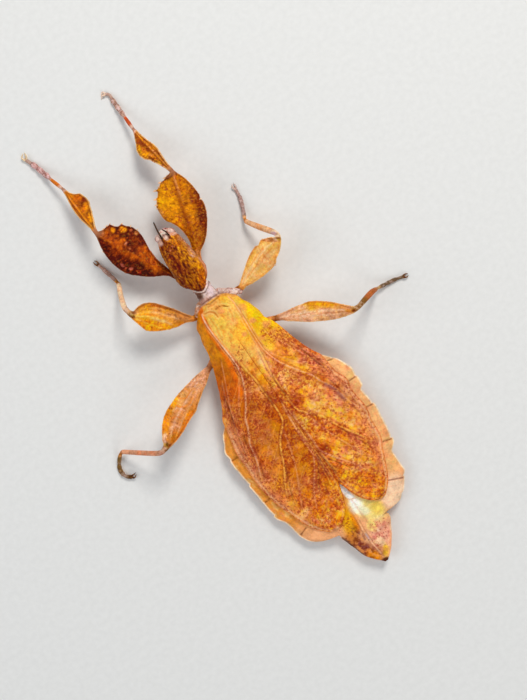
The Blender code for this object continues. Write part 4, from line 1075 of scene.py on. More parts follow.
    # Prothorax: grey pink, wrinkled, with a painted shadow, dark brown, at the
    # front left.
    pro = ramp(ring, 2.62, 2.52)
    wrinkle = clouds(p * np.array([1, 2.0, 1]), 0.62, 67)
    crumb = clouds(p, 0.34, 68)
    lay(col, tone(210, 182, 172), pro)
    lay(col, tone(150, 112, 96), pro * 0.75 * ramp(wrinkle, 0.02, 0.4))
    lay(col, tone(228, 208, 206), pro * 0.7 * ramp(-wrinkle, 0.15, 0.5))
    lay(col, tone(112, 76, 66), pro * 0.6 * ramp(-fine, 0.2, 0.6))
    lay(col, tone(120, 84, 76), pro * 0.65 * ramp(crumb, 0.12, 0.4))
    lay(col, tone(244, 230, 224), pro * 0.6 * ramp(-crumb, 0.15, 0.4))
    lay(col, tone(226, 204, 208), pro * 0.7 * spot(uv, 210, 290, 3.4, 7, -25,
                                                   .8))
    # painted shadow: a dark brown wedge at the front left
    lay(col, tone(80, 46, 32), pro * 0.9 * spot(uv, 199.5, 296, 3.2, 5.0,
                                                -35, .8))
    lay(col, tone(186, 138, 124), pro * 0.6 * spot(uv, 205, 301, 6, 3, -25,
                                                   .8))
    ragged = 0.12 * crumb
    lay(col, tone(242, 224, 214), pro * (0.75 + 0.4 * fine) * bell(
        ring + ragged - 2.42, 0.13))
    # painted shadow: a dark line just behind the pale rim of the collar
    lay(col, tone(104, 66, 56), pro * 0.75 * bell(ring + ragged - 2.10, 0.18)
        * (up > 0))
    lay(col, tone(120, 70, 44), 0.8 * bell(y + 0.66, 0.15) * (y < 0))
    down = ramp(up, 0.0, -0.5)
    lay(col, tone(196, 132, 70), 0.6 * down * (1 - pro))
    # Relief: grains and low warts, a groove along the middle, side keels.
    granules = ramp(grain(p, 0.30, 73), 0.15, 0.75)
    height = (0.05 * clouds(p, 0.6, 71) + 0.06 * granules
              + 0.03 * fine) * (1 - pro) * ramp(y, 15.4, 14.2)
    height = height - 0.04 * dark * (1 - pro)
    height = height + (0.17 * wrinkle + 0.10 * crumb) * pro * ramp(
        up, -0.3, 0.2) * ramp(y, -0.6, 0.0)
    height = height - 0.10 * bell(p[..., 0] - .1, 0.30) * pro * (up > 0)
    over = ramp(up, 0.1, 0.5)
    height = height - 0.13 * bell(p[..., 0], 0.20) * ramp(y, 3.2, 4.6) * ramp(
        y, 12.0, 9.0) * over
    for sx in (-1, 1):
        for cx, cy, r, h in ((.85, 6.0, .75, .13), (1.2, 8.8, .8, .10),
                             (.65, 11.2, .6, .09), (1.5, 4.7, .6, .10)):
            height = height + h * over * bell(np.hypot(
                p[..., 0] - sx * cx, (y - cy) * 0.7), r)
    half = smooth(column(FRONT_PROFILE, 1), y)
    keel = bell(np.abs(p[..., 0]) / half - 0.86, 0.09) * ramp(
        up, -0.1, 0.3) * ramp(y, 3.5, 5.5) * ramp(y, 14.2, 12.8)
    height = height + 0.12 * keel
    lay(col, tone(206, 138, 74), 0.30 * keel)
    brow = bell(y + 0.35 * p[..., 0] ** 2 - 13.5, 0.22) * over * (
        np.abs(p[..., 0]) < 1.5)
    height = height - 0.10 * brow
    lay(col, tone(120, 50, 20), 0.5 * brow)
    # Raised rim round each eye and antenna base; the skin dips behind the eyes.
    for c in EYES.values():
        r = np.linalg.norm(p - np.array(c), axis=-1)
        height = height + 0.12 * bell(r - EYE_RADIUS - 0.10, 0.12)
        height = height - 0.5 * ramp(r, EYE_RADIUS, 0.5)
        lay(col, tone(170, 112, 90), 0.6 * bell(r - EYE_RADIUS - 0.03, 0.09))
    for path in ANTENNAE.values():
        r = np.linalg.norm(p - np.array([path[0][0], path[0][1] + .25,
                                         path[0][2] + .3]), axis=-1)
        height = height + 0.14 * bell(r - 0.38, 0.12) * (up > 0)
    speck = np.clip(0.42 * (1 - pro) + 0.1, 0, 1) * (1 - 0.5 * down)
    speck = speck * (1 - 0.7 * muzzle)
    marks = np.stack([speck, np.full(speck.shape, .3), 0 * pro], -1)
    return col, marks, height


# ------------------------------------------------------------ the body
TOP_N, LOW_N = 150, 60


def body_grid():
    ys = np.concatenate([
        np.linspace(15.95, 2.9, 92), np.linspace(2.85, 1.9, 12)[0:],
        np.linspace(1.75, -0.35, 14), np.linspace(-0.45, -1.6, 10),
        np.linspace(-1.8, -10, 48), np.linspace(-10.25, -44, 136),
        np.linspace(-44.15, -64.1, 132)])
    top_s = -np.cos(np.pi * (np.arange(TOP_N) + 0.5) / TOP_N)
    low_s = np.cos(np.pi * (np.arange(LOW_N) + 0.5) / LOW_N)
    s = np.concatenate([top_s, low_s])
    over = np.concatenate([np.ones(TOP_N, bool), np.zeros(LOW_N, bool)])
    yy, ss = np.meshgrid(ys, s, indexing="ij")
    oo = np.broadcast_to(over, yy.shape)
    # rounded section of the head and prothorax
    half = smooth(column(FRONT_PROFILE, 1), yy)
    low = smooth(column(FRONT_PROFILE, 2), yy)
    high = smooth(column(FRONT_PROFILE, 3), yy)
    mid = smooth(column(FRONT_PROFILE, 4), yy)
    bulge = (1 - np.abs(ss) ** 2.15) ** (1 / 2.15)
    xa = mid + half * ss
    za = (low + high) / 2 + (high - low) / 2 * np.where(oo, bulge, -bulge)
    # roof-shaped section of the thorax and abdomen
    left = smooth(column(BODY_OUTLINE, 1), yy)
    right = smooth(column(BODY_OUTLINE, 2), yy)
    nibble = 0.07 * clouds(np.stack([yy * 1.0, np.sign(ss) * 5, yy * 0], -1),
                           0.9, 21, 3) * ramp(yy, -22, -25)
    left, right = left + nibble, right + nibble
    for k, (y0, depth) in enumerate(SHOULDERS):
        step_ = depth * ramp(yy, y0 + 0.12, y0 - 0.10) * ramp(
            yy, y0 - 3.2, y0 - 0.3)
        dent = -0.10 * bell(yy - y0 - 0.12, 0.16)
        right = right + step_ + dent
        left = left + (step_ + dent) * (k < 4)
    centre = ramp(yy, -55.0, -57.5) * (right - left) / 2
    xb = np.where(ss > 0, centre + ss * (right - centre),
                  centre + ss * (left + centre))
    rel = xb - centre
    drop = TEGMEN_DROP * 0.92 * ramp(yy, -7.6, -10.6) + 0.05
    wide = np.where(ss > 0, right - centre, left + centre)
    a = np.abs(rel) / np.maximum(wide, 0.2)
    top = roof(rel, yy) - drop
    rim = smooth(ROOF_EDGE, yy) - TEGMEN_DROP - SHEET
    swell = np.maximum(0, 1 - (a / BELLY_REACH) ** 2) ** 1.5
    base = np.maximum(0.0, rim - (rim - smooth(BELLY, yy)) * swell)
    base = np.where(yy > -12, np.maximum(base, smooth(BELLY, yy)), base)
    # the rim is thin and rounded
    edge_top = roof(wide, yy) - drop
    thick = edge_top - rim
    pinch = ramp(a, 0.90, 1.0) ** 2
    keep = ramp(yy, -8, -16)
    centre_z = (edge_top + rim) / 2
    top = top + pinch * keep * (centre_z + 0.05 - top) * 0.85
    base = base + pinch * keep * (centre_z - 0.05 - base) * 0.85
    soft = np.sqrt(np.maximum(0, 1 - np.abs(a) ** 14))
    mid_z = (top + base) / 2
    zb = np.where(oo, mid_z + (top - mid_z) * soft,
                  mid_z + (base - mid_z) * soft)
    # gentle waves of the leaf-like margin
    wave = 0.16 * np.sin(yy * 0.9 + ss) + 0.10 * np.sin(yy * 2.1 + 2 * ss)
    zb = zb + wave * ramp(a, 0.82, 1.0) * ramp(yy, -20, -27)
    w = ramp(yy, -0.45, -1.6)
    # the back of the head bulges over the neck, so the groove bows backward
    bow = ramp(yy, -0.45, 2.45) * ramp(yy, 7.0, 2.8)
    across = np.clip(np.abs(ss), 0, 1) ** 2
    yw = yy + bow * (0.30 * across - np.where(oo, 1.05, 0.0)
                     * (1 - across) ** 0.8)
    grid = np.stack([xa + (xb - xa) * w, yw, za + (zb - za) * w], -1)
    return grid, w, a, oo, yy


grid, body_share, rim_share, is_top, rings = body_grid()
normal = normals_of(grid)
up = normal[..., 2]
tint_a, marks_a, high_a = front_colours(grid, up, rings)
tint_b, marks_b, high_b = back_colours(grid, ramp(up, 0.0, 0.4))
tint_c, marks_c, high_c = tail_colours(grid, up)
yy = grid[..., 1]
share_b = ramp(yy, -0.75, -1.15)[..., None]
share_c = np.maximum(ramp(yy, -12, -15), ramp(up, -0.05, -0.4)
                     * ramp(yy, -0.7, -1.2))[..., None]
tint = tint_a + (tint_b - tint_a) * share_b
tint = tint + (tint_c - tint) * share_c
marks = marks_a + (marks_b - marks_a) * share_b
marks = marks + (marks_c - marks) * share_c
high = high_a + (high_b - high_a) * share_b[..., 0]
high = high + (high_c - high) * share_c[..., 0]
# Pink lilac band along the front right edge of the thorax, and the side walls.
uv = picture(grid)
d, along, _ = line_distance(uv, [(214, 290), (226, 289), (240, 292)])
lay(tint, tone(214, 184, 174), 0.85 * bell(d, 3.4) * ramp(yy, 0.2, -1.0))
d, along, _ = line_distance(uv, [(216, 296), (228, 294.5), (240, 295)])
lay(tint, tone(170, 96, 60), 0.45 * bell(d, 1.1) * ramp(yy, -0.4, -1.2))
wall = ramp(np.abs(up), 0.45, 0.2) * ramp(yy, -1.2, -2.5) * ramp(yy, -12, -9)
lay(tint, tone(222, 140, 60), 0.5 * wall)
# Pale outline of the abdomen's margin.
lay(tint, tone(252, 220, 190), 0.85 * ramp(rim_share, 0.972, 0.992)
    * ramp(yy, -20, -24) * ramp(yy, -55.5, -54.5))
lay(tint, tone(246, 200, 150), 0.6 * ramp(rim_share, 0.95, 0.99)
    * ramp(yy, -54.5, -55.5) * (grid[..., 0] > 2))
grid = grid + normal * high[..., None]
grid[..., 2] = np.maximum(grid[..., 2], 0.0)
skin = Shell()
skin.add(grid, tint, marks)


# ------------------------------------------------------------ the legs
def resample(rows, step):
    """Even spacing along a path whose first three columns are x, y, z."""
    rows = np.asarray(rows, float)
    run = np.concatenate([[0], np.cumsum(np.linalg.norm(
        np.diff(rows[:, :3], axis=0), axis=1))])
    keep = np.concatenate([[True], np.diff(run) > 1e-6])
    run, rows = run[keep], rows[keep]
    at = np.linspace(0, run[-1], int(run[-1] / step) + 1)
    return np.stack([np.interp(at, run, rows[:, k])
                     for k in range(rows.shape[1])], -1)


def softened(values, reach, step):
    """Gaussian smoothing along a path; the ends stay."""
    n = int(3 * reach / step)
    k = np.exp(-0.5 * (np.arange(-n, n + 1) * step / reach) ** 2)
    k /= k.sum()
    padded = np.pad(values, (n, n), mode="reflect", reflect_type="odd")
    return np.convolve(padded, k, mode="valid")


def leg_path(leg):
    """Columns x y z, width left and right, height, rim, edge power, place."""
    rows = []
    root = ROOTS[leg]
    coxa = curve_points(COXAE[leg], 0.3)
    r0 = coxa[0, 3] + 0.12
    for t in np.linspace(0, 1, 6)[:-1]:
        c = np.array(root) + (coxa[0, :3] - np.array(root)) * t
        rows.append([*c, r0, r0, r0, r0, 2.0, 0.0])
    for i, c in enumerate(coxa):
        t = i / (len(coxa) - 1)
        r = c[3] * (1 + 0.05 * math.sin(6 * math.pi * t))
        rows.append([*c[:3], r, r, r, r, 2.0, 0.05 + 0.95 * t])
    f = FEMORA[leg]
    base, knee = np.array(f["base"]), np.array(f["knee"])
    shaft = [(0, .52), (.2, .60), (.7, .58), (.93, .52), (1, .46)]
    for t in np.linspace(max(f["start"], 0.02), 0.985, 240):
        wl, wr = straight(f["left"], t), straight(f["right"], t)
        h = straight(shaft, t)
        flat = ramp(t, 0.02, 0.14) * ramp(t, 1.0, 0.95)
        rim = h + (0.15 - h) * flat
        rows.append([*(base + (knee - base) * t), wl, wr, h, rim,
                     2.0 + 6 * flat, 1.0 + t])
    if leg in FRONT_TIBIAE:
        g = FRONT_TIBIAE[leg]
        a, b = np.array(g["base"]), np.array(g["knee"])
        for t in np.linspace(0.02, 0.995, 150):
            wl, wr = straight(g["left"], t), straight(g["right"], t)
            h = straight([(0, .44), (.5, .42), (1, .36)], t)
            flat = ramp(t, 0.03, 0.16) * ramp(t, 1.0, 0.9)
            rim = h + (0.13 - h) * flat
            rows.append([*(a + (b - a) * t), wl, wr, h, rim,
                         2.0 + 6 * flat, 2.0 + t])
    else:
        tibia = curve_points(TIBIAE[leg], 0.3)
        fuller = {"leg_middle_left": .24, "leg_middle_right": .34,
                  "leg_hind_left": .08, "leg_hind_right": .34}[leg]
        for i, c in enumerate(tibia):
            t = i / (len(tibia) - 1)
            w = c[3] * (1.0 + (fuller - 0.18) * math.sin(math.pi * t))
            rows.append([*c[:3], w, w, c[3] * .86, c[3] * .86, 2.0, 2.0 + t])
    tarsus = curve_points(TARSI[leg], 0.2)
    # basitarsus, three short pads and the long claw joint
    joints = FOOT_JOINTS.get(leg, (0.0, 0.36, 0.52, 0.64, 0.75, 1.0))
    run = np.concatenate([[0], np.cumsum(np.linalg.norm(
        np.diff(tarsus[:, :3], axis=0), axis=1))])
    run /= run[-1]
    for c, t in zip(tarsus, run):
        k = min(np.searchsorted(joints, t, side="right") - 1, 4)
        u = (t - joints[k]) / (joints[k + 1] - joints[k])
        bead = 0.76 + 0.30 * math.sin(math.pi * min(u * 1.05, 1)) ** 0.7
        if k in (1, 2, 3):
            bead = 0.74 + 0.44 * u ** 0.8 * (1 - u ** 8)
        if k == 4:
            bead = 0.62 + 0.28 * u
        r = c[3] * bead
        rows.append([*c[:3], r * 1.05, r * 1.05, r * .92, r * .92, 2.0,
                     3.0 + t])
    rows = np.array(rows)
    # the front legs start close under the head
    inward = {"leg_front_right": -0.62, "leg_front_left": 0.42}.get(leg, 0.0)
    w = ramp(rows[:, 8], 1.30, 1.06) * ramp(rows[:, 8], 0.0, 0.12)
    rows[:, 0] += inward * w
    rows[:, 2] -= abs(inward) * 0.5 * w
    for k in (3, 4, 5, 6):
        rows[:, k] *= 1 - 0.30 * abs(inward) * w
    if leg == "leg_middle_right":
        w = ramp(rows[:, 8], 1.04, 0.75)
        rows[:, 1] -= 0.75 * w
        rows[:, 2] -= 0.25 * w
    return rows


def leg_grid(leg, step, count):
    rows = resample(leg_path(leg), step)
    for k in (0, 1, 2):
        rows[:, k] = softened(rows[:, k], 0.34, step)
    for k in (5, 6, 7):
        rows[:, k] = softened(rows[:, k], 0.22, step)
    for k in (3, 4):
        rows[:, k] = softened(rows[:, k], 0.07, step)
    q = rows[:, 8]
    pos = rows[:, :3]
    along = np.gradient(pos, axis=0)
    along /= np.linalg.norm(along, axis=1, keepdims=True)
    side = np.stack([-along[:, 1], along[:, 0], np.zeros(len(along))], -1)
    side /= np.maximum(np.linalg.norm(side, axis=1, keepdims=True), 1e-6)
    for k in range(3):
        side[:, k] = softened(side[:, k], 0.3, step)
    side /= np.linalg.norm(side, axis=1, keepdims=True)
    upward = np.cross(side, along)
    upward *= np.where(upward[:, 2:3] < 0, -1, 1)
    wl, wr, h, rim, power = (rows[:, k][:, None] for k in (3, 4, 5, 6, 7))
    n = count // 2
    x = (np.arange(n) + 0.5) / n * 2 - 1
    flatness = np.clip((power - 2) / 6, 0, 1)
    even = x * (1.22 - 0.22 * x ** 2)
    even = np.sign(even) * np.minimum(np.abs(even), 0.9995)
    rounded = np.sin(np.pi / 2 * x)
    s = rounded[None] + (even - rounded)[None] * flatness
    s = np.concatenate([s, s[:, ::-1]], 1)          # over, then back under
    over = np.concatenate([np.ones(n), -np.ones(n)])[None]
    width = np.where(s > 0, wl, wr)
    a = s * width
    body = np.sqrt(np.maximum(0, 1 - np.abs(s) ** power))
    swell = np.exp(-(a / 0.42) ** 2) + (np.exp(-(a / 0.85) ** 2) * 0.8
                                        - np.exp(-(a / 0.42) ** 2)) * flatness
    thick = body * (rim + (h - rim) * swell)
    qq = np.broadcast_to(q[:, None], s.shape)
    t = qq % 1
    lobe = flatness * ((qq > 1) & (qq < 3))
    # leaf-like waves and a slight droop of the lobes
    seed = len(leg)
    wave = (0.16 * np.sin(t * 19 + seed + 2 * np.sign(s))
            + 0.10 * np.sin(t * 41 + seed)) * np.abs(s) ** 2
    droop = -0.022 * a * a
    lift = lobe * (wave * np.minimum(width / 2, 1) + droop)
    grid = (pos[:, None] + side[:, None] * a[..., None]
            + upward[:, None] * (over * thick + lift)[..., None])
    return grid, s, a, width, over * np.ones_like(s), qq, lobe


# Patches of colour on the legs, in the picture: centre, radii, turn,
# colour, weight.
LEG_PATCHES = {
    "leg_front_left": [
        (128, 226, 30, 9, 12, (84, 22, 4), .85), (144, 240, 6, 14, -30,
                                                 (96, 30, 8), .8),
        (130, 269, 30, 8, 8, (64, 12, 6), .9), (108, 255, 5, 14, -45,
                                               (84, 24, 6), .8),
        (116, 243, 16, 4, 38, (206, 98, 12), .75),
        (126, 251, 14, 4, 30, (190, 84, 12), .6),
        (146, 254, 8, 7, 30, (206, 98, 14), .7),
        (152, 264, 10, 5, 35, (218, 108, 16), .85),
        (112, 238, 5, 3, 30, (150, 58, 8), .7),
        (128, 246, 4, 5, 0, (74, 16, 6), .7),
        (134, 251, 4, 2.4, 30, (80, 18, 8), .6),
        (113, 230, 2.2, 2.6, 0, (236, 140, 30), .95),
        (123, 229.5, 3.2, 2.8, 10, (240, 150, 30), .98),
        (136.5, 233, 2.0, 1.8, 0, (238, 160, 90), .9),
        (123, 240, 2.6, 2.2, 0, (226, 116, 12), .9),
        (131, 230.5, 1.4, 1.4, 0, (206, 110, 70), .8),
        (117.5, 236, 1.4, 1.2, 0, (206, 104, 20), .7),
        (126, 243.5, 1.2, 1.2, 0, (220, 140, 110), .7),
        (130, 248.5, 1.1, 1.1, 0, (214, 120, 80), .7),
        (122, 265, 2.6, 1.1, 35, (206, 110, 96), .75),
        (131, 268.5, 2.0, 1.2, 0, (200, 104, 96), .75),
        (138.5, 272, 2.8, 1.0, 30, (196, 60, 52), .75),
        (126, 268, 1.2, 1.0, 0, (190, 90, 80), .6),
        (104, 229, 2.4, 1.2, 30, (150, 70, 50), .7),
        (101, 234, 3, 3, 0, (214, 140, 100), .6)],
    "leg_front_right": [
        (163, 200, 10, 14, 0, (246, 168, 6), .9),
        (166, 214, 8, 8, 0, (226, 146, 30), .7),
        (176, 222, 6, 5, 0, (240, 160, 6), .8),
        (178, 228, 5, 6, -20, (244, 140, 6), .7),
        (160, 212, 5, 2.2, 45, (214, 146, 84), .6),
        (160, 184, 5, 4, 0, (226, 144, 14), .7),
        (200, 212, 4.5, 18, -6, (92, 22, 2), .92),
        (203.5, 228, 3.2, 16, 6, (100, 26, 4), .85),
        (195, 198, 4, 8, -30, (130, 48, 6), .8),
        (186, 186, 4, 12, -45, (190, 104, 10), .5),
        (197, 238, 6, 10, 5, (184, 112, 40), .8),
        (188, 212, 7, 14, -5, (206, 128, 14), .6),
        (186, 204, 2.4, 2, 0, (130, 60, 6), .7),
        (167, 177.0, 6, 2.6, -20, (84, 26, 6), .9),
        (160.5, 181.5, 2.4, 2, -40, (130, 60, 14), .7),
        (190, 226, 3, 8, -10, (186, 104, 8), .6),
        (192, 200, 3, 3, 0, (150, 66, 6), .7),
        (186, 216, 3, 3, 0, (160, 80, 8), .6),
        (197, 222, 2.4, 4, 0, (176, 94, 10), .7),
        (178, 196, 3, 4, 0, (196, 116, 10), .6),
        (175, 177, 2, 2, 0, (214, 110, 20), .7),
        (198, 256, 5, 5, 0, (206, 140, 100), .75)],
    "leg_middle_left": [
        (150, 312, 22, 10, 8, (252, 166, 30), .8),
        (147, 327, 16, 5.4, 5, (252, 150, 0), .95),
        (142, 304.5, 5, 2, -40, (206, 110, 40), .6),
        (176, 310.5, 14, 1.8, 16, (150, 70, 34), .8),
        (157, 311, 6, 4, 10, (226, 142, 84), .75),
        (156, 305, 6, 1.8, 8, (196, 88, 40), .75),
        (162, 318, 8, 4, 10, (236, 160, 76), .6),
        (182, 317, 12, 5.5, 10, (196, 128, 62), .85),
        (170, 315, 5, 2, 10, (214, 150, 100), .6),
        (178, 325, 7, 2.6, -10, (190, 100, 26), .75),
        (172, 327, 6, 2, -10, (240, 170, 20), .6),
        (136, 312, 3, 2.4, 0, (236, 146, 90), .6),
        (133, 316.5, 2.2, 1.8, 0, (110, 30, 10), .9)],
    "leg_middle_right": [
        (262, 262, 14, 22, 25, (255, 196, 120), .9),
        (266, 257, 5, 10, 30, (255, 190, 110), .5),
        (275, 247, 6, 10, 8, (255, 184, 80), .9),
        (254, 259, 4, 7, 15, (255, 176, 70), .7),
        (260, 272, 8, 5, -40, (252, 188, 100), .6),
        (272, 256, 5, 7, 20, (246, 176, 112), .5),
        (248, 279, 6, 8, 20, (255, 196, 116), .85),
        (257, 246, 3, 2, 0, (240, 168, 80), .6),
        (270, 240.4, 9, 1.6, 3, (140, 58, 34), .85),
        (267, 239.4, 3, 1.2, 0, (226, 170, 150), .7),
        (279.4, 239.0, 2.2, 1.8, 0, (70, 14, 8), .95)],
    "leg_hind_left": [
        (198, 380, 8, 14, 35, (248, 190, 164), .92),
        (205, 376, 3.2, 9, 20, (206, 152, 146), .9),
        (182, 402, 12, 14, 40, (226, 156, 96), .8),
        (184, 396, 5, 7, 35, (236, 176, 124), .6),
        (170, 406, 4.5, 14, 22, (254, 164, 0), .96),
        (166, 424, 3.8, 12, 8, (250, 144, 0), .96),
        (186, 422, 3.4, 15, 25, (238, 112, 4), .92),
        (177, 422, 5, 13, 25, (204, 124, 76), .9),
        (175, 438, 5, 6, 30, (194, 70, 6), .92),
        (183, 396, 5, 3, 0, (240, 190, 110), .5),
        (192, 398, 4, 8, 30, (222, 138, 84), .6),
        (167, 445.5, 4, 2, 20, (96, 22, 14), .9),
        (164.6, 436.6, 1.9, 3.6, 20, (240, 206, 196), .9),
        (163, 441, 1.6, 2, 10, (196, 140, 136), .8)],
    "leg_hind_right": [
        (320, 312, 34, 8, -3, (238, 180, 146), .75),
        (286, 317, 8, 4, -15, (206, 180, 178), .8),
        (300, 314, 13, 6, -15, (255, 216, 176), .85),
        (324, 303.2, 19, 3.4, 2, (252, 166, 0), .98),
        (312, 307, 5, 3.4, -10, (252, 176, 30), .8),
        (338, 305, 5, 3, 10, (240, 150, 50), .8),
        (345, 309, 8, 4, 8, (224, 150, 90), .7),
        (349, 310.6, 4, 1.4, 5, (190, 70, 30), .8),
        (320, 318.6, 30, 2.0, -3, (244, 196, 150), .6),
        (353.6, 310.6, 2.2, 2.0, 0, (92, 24, 10), .95),
        (276, 318, 5, 3, 0, (226, 140, 60), .8)],
}
# Fine veins and dark edges of the middle and hind femora, in the picture:
# path, width, colour, weight.
LEG_LINES = {
    "leg_middle_left": [
        ([(134, 316), (143, 316.5), (153, 318), (164, 321.5), (174, 325)],
         .75, (252, 206, 150), .75),
        ([(134, 314.5), (144, 312.5), (156, 312.5), (168, 316), (180, 319)],
         .65, (246, 196, 140), .6),
        ([(135, 318), (143, 321.5), (153, 325.5), (164, 328)],
         .6, (252, 200, 120), .6),
        ([(137, 311.5), (146, 308), (158, 308.5), (170, 312.5)],
         .6, (240, 180, 120), .5),
        ([(140, 320.5), (150, 322.5), (160, 325)], .5, (216, 104, 20), .6),
        ([(142, 314.4), (154, 315.4), (166, 319)], .5, (206, 104, 30), .6),
        ([(146, 306.3), (156, 305.6), (166, 309)], .7, (176, 80, 34), .7),
        ([(134.5, 311.5), (140, 306), (147, 303), (153, 303), (163, 306),
          (175, 310.6), (186, 315.4), (193, 317.5)],
         .9, (122, 58, 30), .85)],
    "leg_middle_right": [
        ([(241, 285), (248, 273), (256, 260), (265, 249), (275, 241)],
         .7, (252, 208, 160), .6),
        ([(244, 284), (253, 273), (263, 262), (272, 254), (279, 246)],
         .6, (250, 200, 140), .45),
        ([(243, 279), (249, 268), (254, 258), (260, 249)],
         .6, (250, 196, 130), .45),
        ([(246, 279), (256, 266), (266, 254), (274, 246)],
         .5, (206, 112, 50), .5),
        ([(251, 266), (257, 255), (263, 247)], .5, (206, 112, 50), .45),
        ([(256, 241), (262, 239), (270, 238.4), (280, 238.6)],
         .8, (124, 52, 30), .8),
        ([(247, 262), (251, 254), (253, 249), (257, 244)],
         .7, (190, 96, 40), .5)],
    "leg_hind_left": [
        ([(170, 441), (172, 430), (177, 417), (184, 404), (192, 391),
          (201, 377)], .7, (240, 190, 160), .6),
        ([(175, 439), (180, 427), (186, 414), (193, 401), (200, 387)],
         .6, (238, 184, 150), .45),
        ([(176, 396), (181, 399), (187, 397), (190, 391)],
         .7, (236, 128, 24), .65),
        ([(173, 403), (180, 407), (188, 405), (193, 397)],
         .7, (236, 128, 24), .6),
        ([(171, 412), (177, 408), (185, 411)], .6, (240, 190, 160), .55),
        ([(170, 421), (176, 416), (183, 419)], .7, (214, 110, 40), .6),
        ([(169, 430), (175, 425), (181, 428)], .6, (238, 186, 150), .5),
        ([(184, 388), (189, 391), (195, 388)], .7, (232, 140, 50), .6),
        ([(190, 380), (195, 383), (201, 380)], .7, (170, 110, 90), .5)],
    "leg_hind_right": [
        ([(278, 318), (294, 314.5), (312, 311.5), (330, 310), (350, 310)],
         .7, (250, 212, 180), .5),
        ([(284, 319.4), (304, 316.6), (326, 315), (346, 313)],
         .6, (248, 206, 170), .4),
        ([(288, 314), (304, 309), (322, 307), (342, 307.6)],
         .6, (246, 190, 110), .45),
        ([(286, 317.4), (306, 314), (328, 312.6), (348, 311.6)],
         .5, (186, 104, 60), .45),
        ([(296, 311.5), (310, 308.3), (330, 307.6)],
         .5, (206, 120, 40), .45),
        ([(302, 305), (308, 302.2), (320, 301.6), (334, 303), (348, 307)],
         .7, (176, 96, 30), .55)],
}
# The same for the lobes of the front tibiae.
TIBIA_PATCHES = {
    "leg_front_left": [
        (84, 212, 7, 16, -24, (206, 118, 14), .8),
        (78, 199, 4.5, 3, 20, (216, 104, 4), .9),
        (84.5, 199.5, 2.4, 3.4, 20, (116, 36, 2), .95),
        (82, 205, 2.2, 3.0, 20, (104, 34, 2), .9),
        (79, 203.5, 2.0, 2.4, 0, (150, 70, 6), .8),
        (86.5, 206, 2.4, 3.2, -10, (232, 138, 24), .9),
        (84, 209.5, 1.5, 3.0, 15, (222, 112, 10), .8),
        (89.5, 211.5, 2.0, 2.2, -20, (120, 48, 4), .9),
        (87, 213.5, 1.6, 1.4, 0, (112, 48, 10), .8),
        (91, 217.5, 1.8, 4.0, -14, (236, 156, 4), .95),
        (86, 219, 2.0, 3.0, -20, (200, 108, 14), .7),
        (92.5, 224.5, 2.4, 2.0, 0, (150, 96, 60), .8),
        (89.5, 225.5, 2.0, 1.6, 0, (222, 160, 60), .7),
        (66.5, 195, 1.2, 5, -35, (172, 66, 4), .85),
        (72.0, 203, 1.3, 4.5, -35, (214, 104, 10), .8),
        (75, 207.5, 1.3, 3.5, -35, (170, 66, 2), .85),
        (80, 215, 1.3, 4.0, -38, (176, 84, 10), .8),
        (84, 222, 1.3, 5.0, -40, (150, 70, 14), .8)],
    "leg_front_right": [
        (145, 152, 9, 10, -35, (206, 124, 16), .8),
        (138.5, 141, 2.2, 5.5, -28, (150, 60, 4), .9),
        (143.5, 145, 2.0, 3.6, -40, (128, 44, 2), .92),
        (148, 148.5, 2.4, 3.0, -45, (120, 40, 2), .92),
        (152, 152, 2.6, 1.8, 40, (140, 54, 4), .85),
        (139.2, 151, 2.2, 5.0, -15, (236, 168, 20), .9),
        (143, 150, 2.0, 1.8, 0, (216, 118, 44), .8),
        (145.5, 155.5, 3.6, 2.0, 25, (238, 156, 16), .9),
        (151, 158.5, 3.0, 1.3, 20, (138, 70, 10), .85),
        (151, 155, 2.2, 1.0, 15, (220, 132, 70), .7),
        (158, 162, 3.2, 1.4, 25, (222, 158, 10), .9),
        (156, 154, 6, 1.6, 48, (130, 80, 12), .85),
        (162, 161, 4, 1.4, 48, (120, 66, 14), .8),
        (140, 135.5, 4, 1.4, 40, (236, 160, 50), .85),
        (146, 142.5, 3.4, 1.2, 42, (214, 122, 26), .8)],
}
# The same round the knees of the middle and hind legs.
KNEES = {
    "leg_middle_left": [
        (130, 312.5, 5.5, 4.5, 0, (184, 138, 110), .95),
        (127.2, 308, 3, 3, 0, (230, 190, 156), .85),
        (133.6, 312.4, 1.8, 1.5, 20, (142, 76, 58), .85),
        (130, 315.2, 2.2, 1.4, 30, (124, 88, 60), .7),
        (133, 317.0, 1.5, 1.3, 0, (92, 34, 0), .95)],
    "leg_middle_right": [
        (276, 233, 8, 6, 0, (228, 198, 162), .95),
        (273.4, 233.8, 2.6, 1.9, 0, (198, 158, 170), .9),
        (267, 227.5, 2.4, 1.6, 0, (214, 174, 178), .8),
        (278.6, 238.2, 3.2, 1.0, 5, (104, 44, 8), .95)],
    "leg_hind_left": [
        (165, 447.5, 5.5, 5.5, 0, (160, 114, 86), .95),
        (164.4, 443.5, 1.6, 4, 10, (210, 166, 150), .8),
        (167, 444.5, 1.3, 2.0, 10, (88, 52, 16), .85),
        (170.4, 446.0, 1.8, 2.0, 20, (112, 30, 20), .9),
        (167.4, 450.4, 2.2, 1.3, -45, (74, 44, 12), .8)],
    "leg_hind_right": [
        (357, 308, 6.5, 5.5, 0, (146, 106, 62), .95),
        (350.5, 311, 3, 1.8, 10, (226, 150, 112), .8),
        (347, 307.5, 3, 1.6, 0, (200, 154, 122), .7),
        (354, 310.8, 2.0, 1.5, 10, (104, 26, 4), .9)],
}


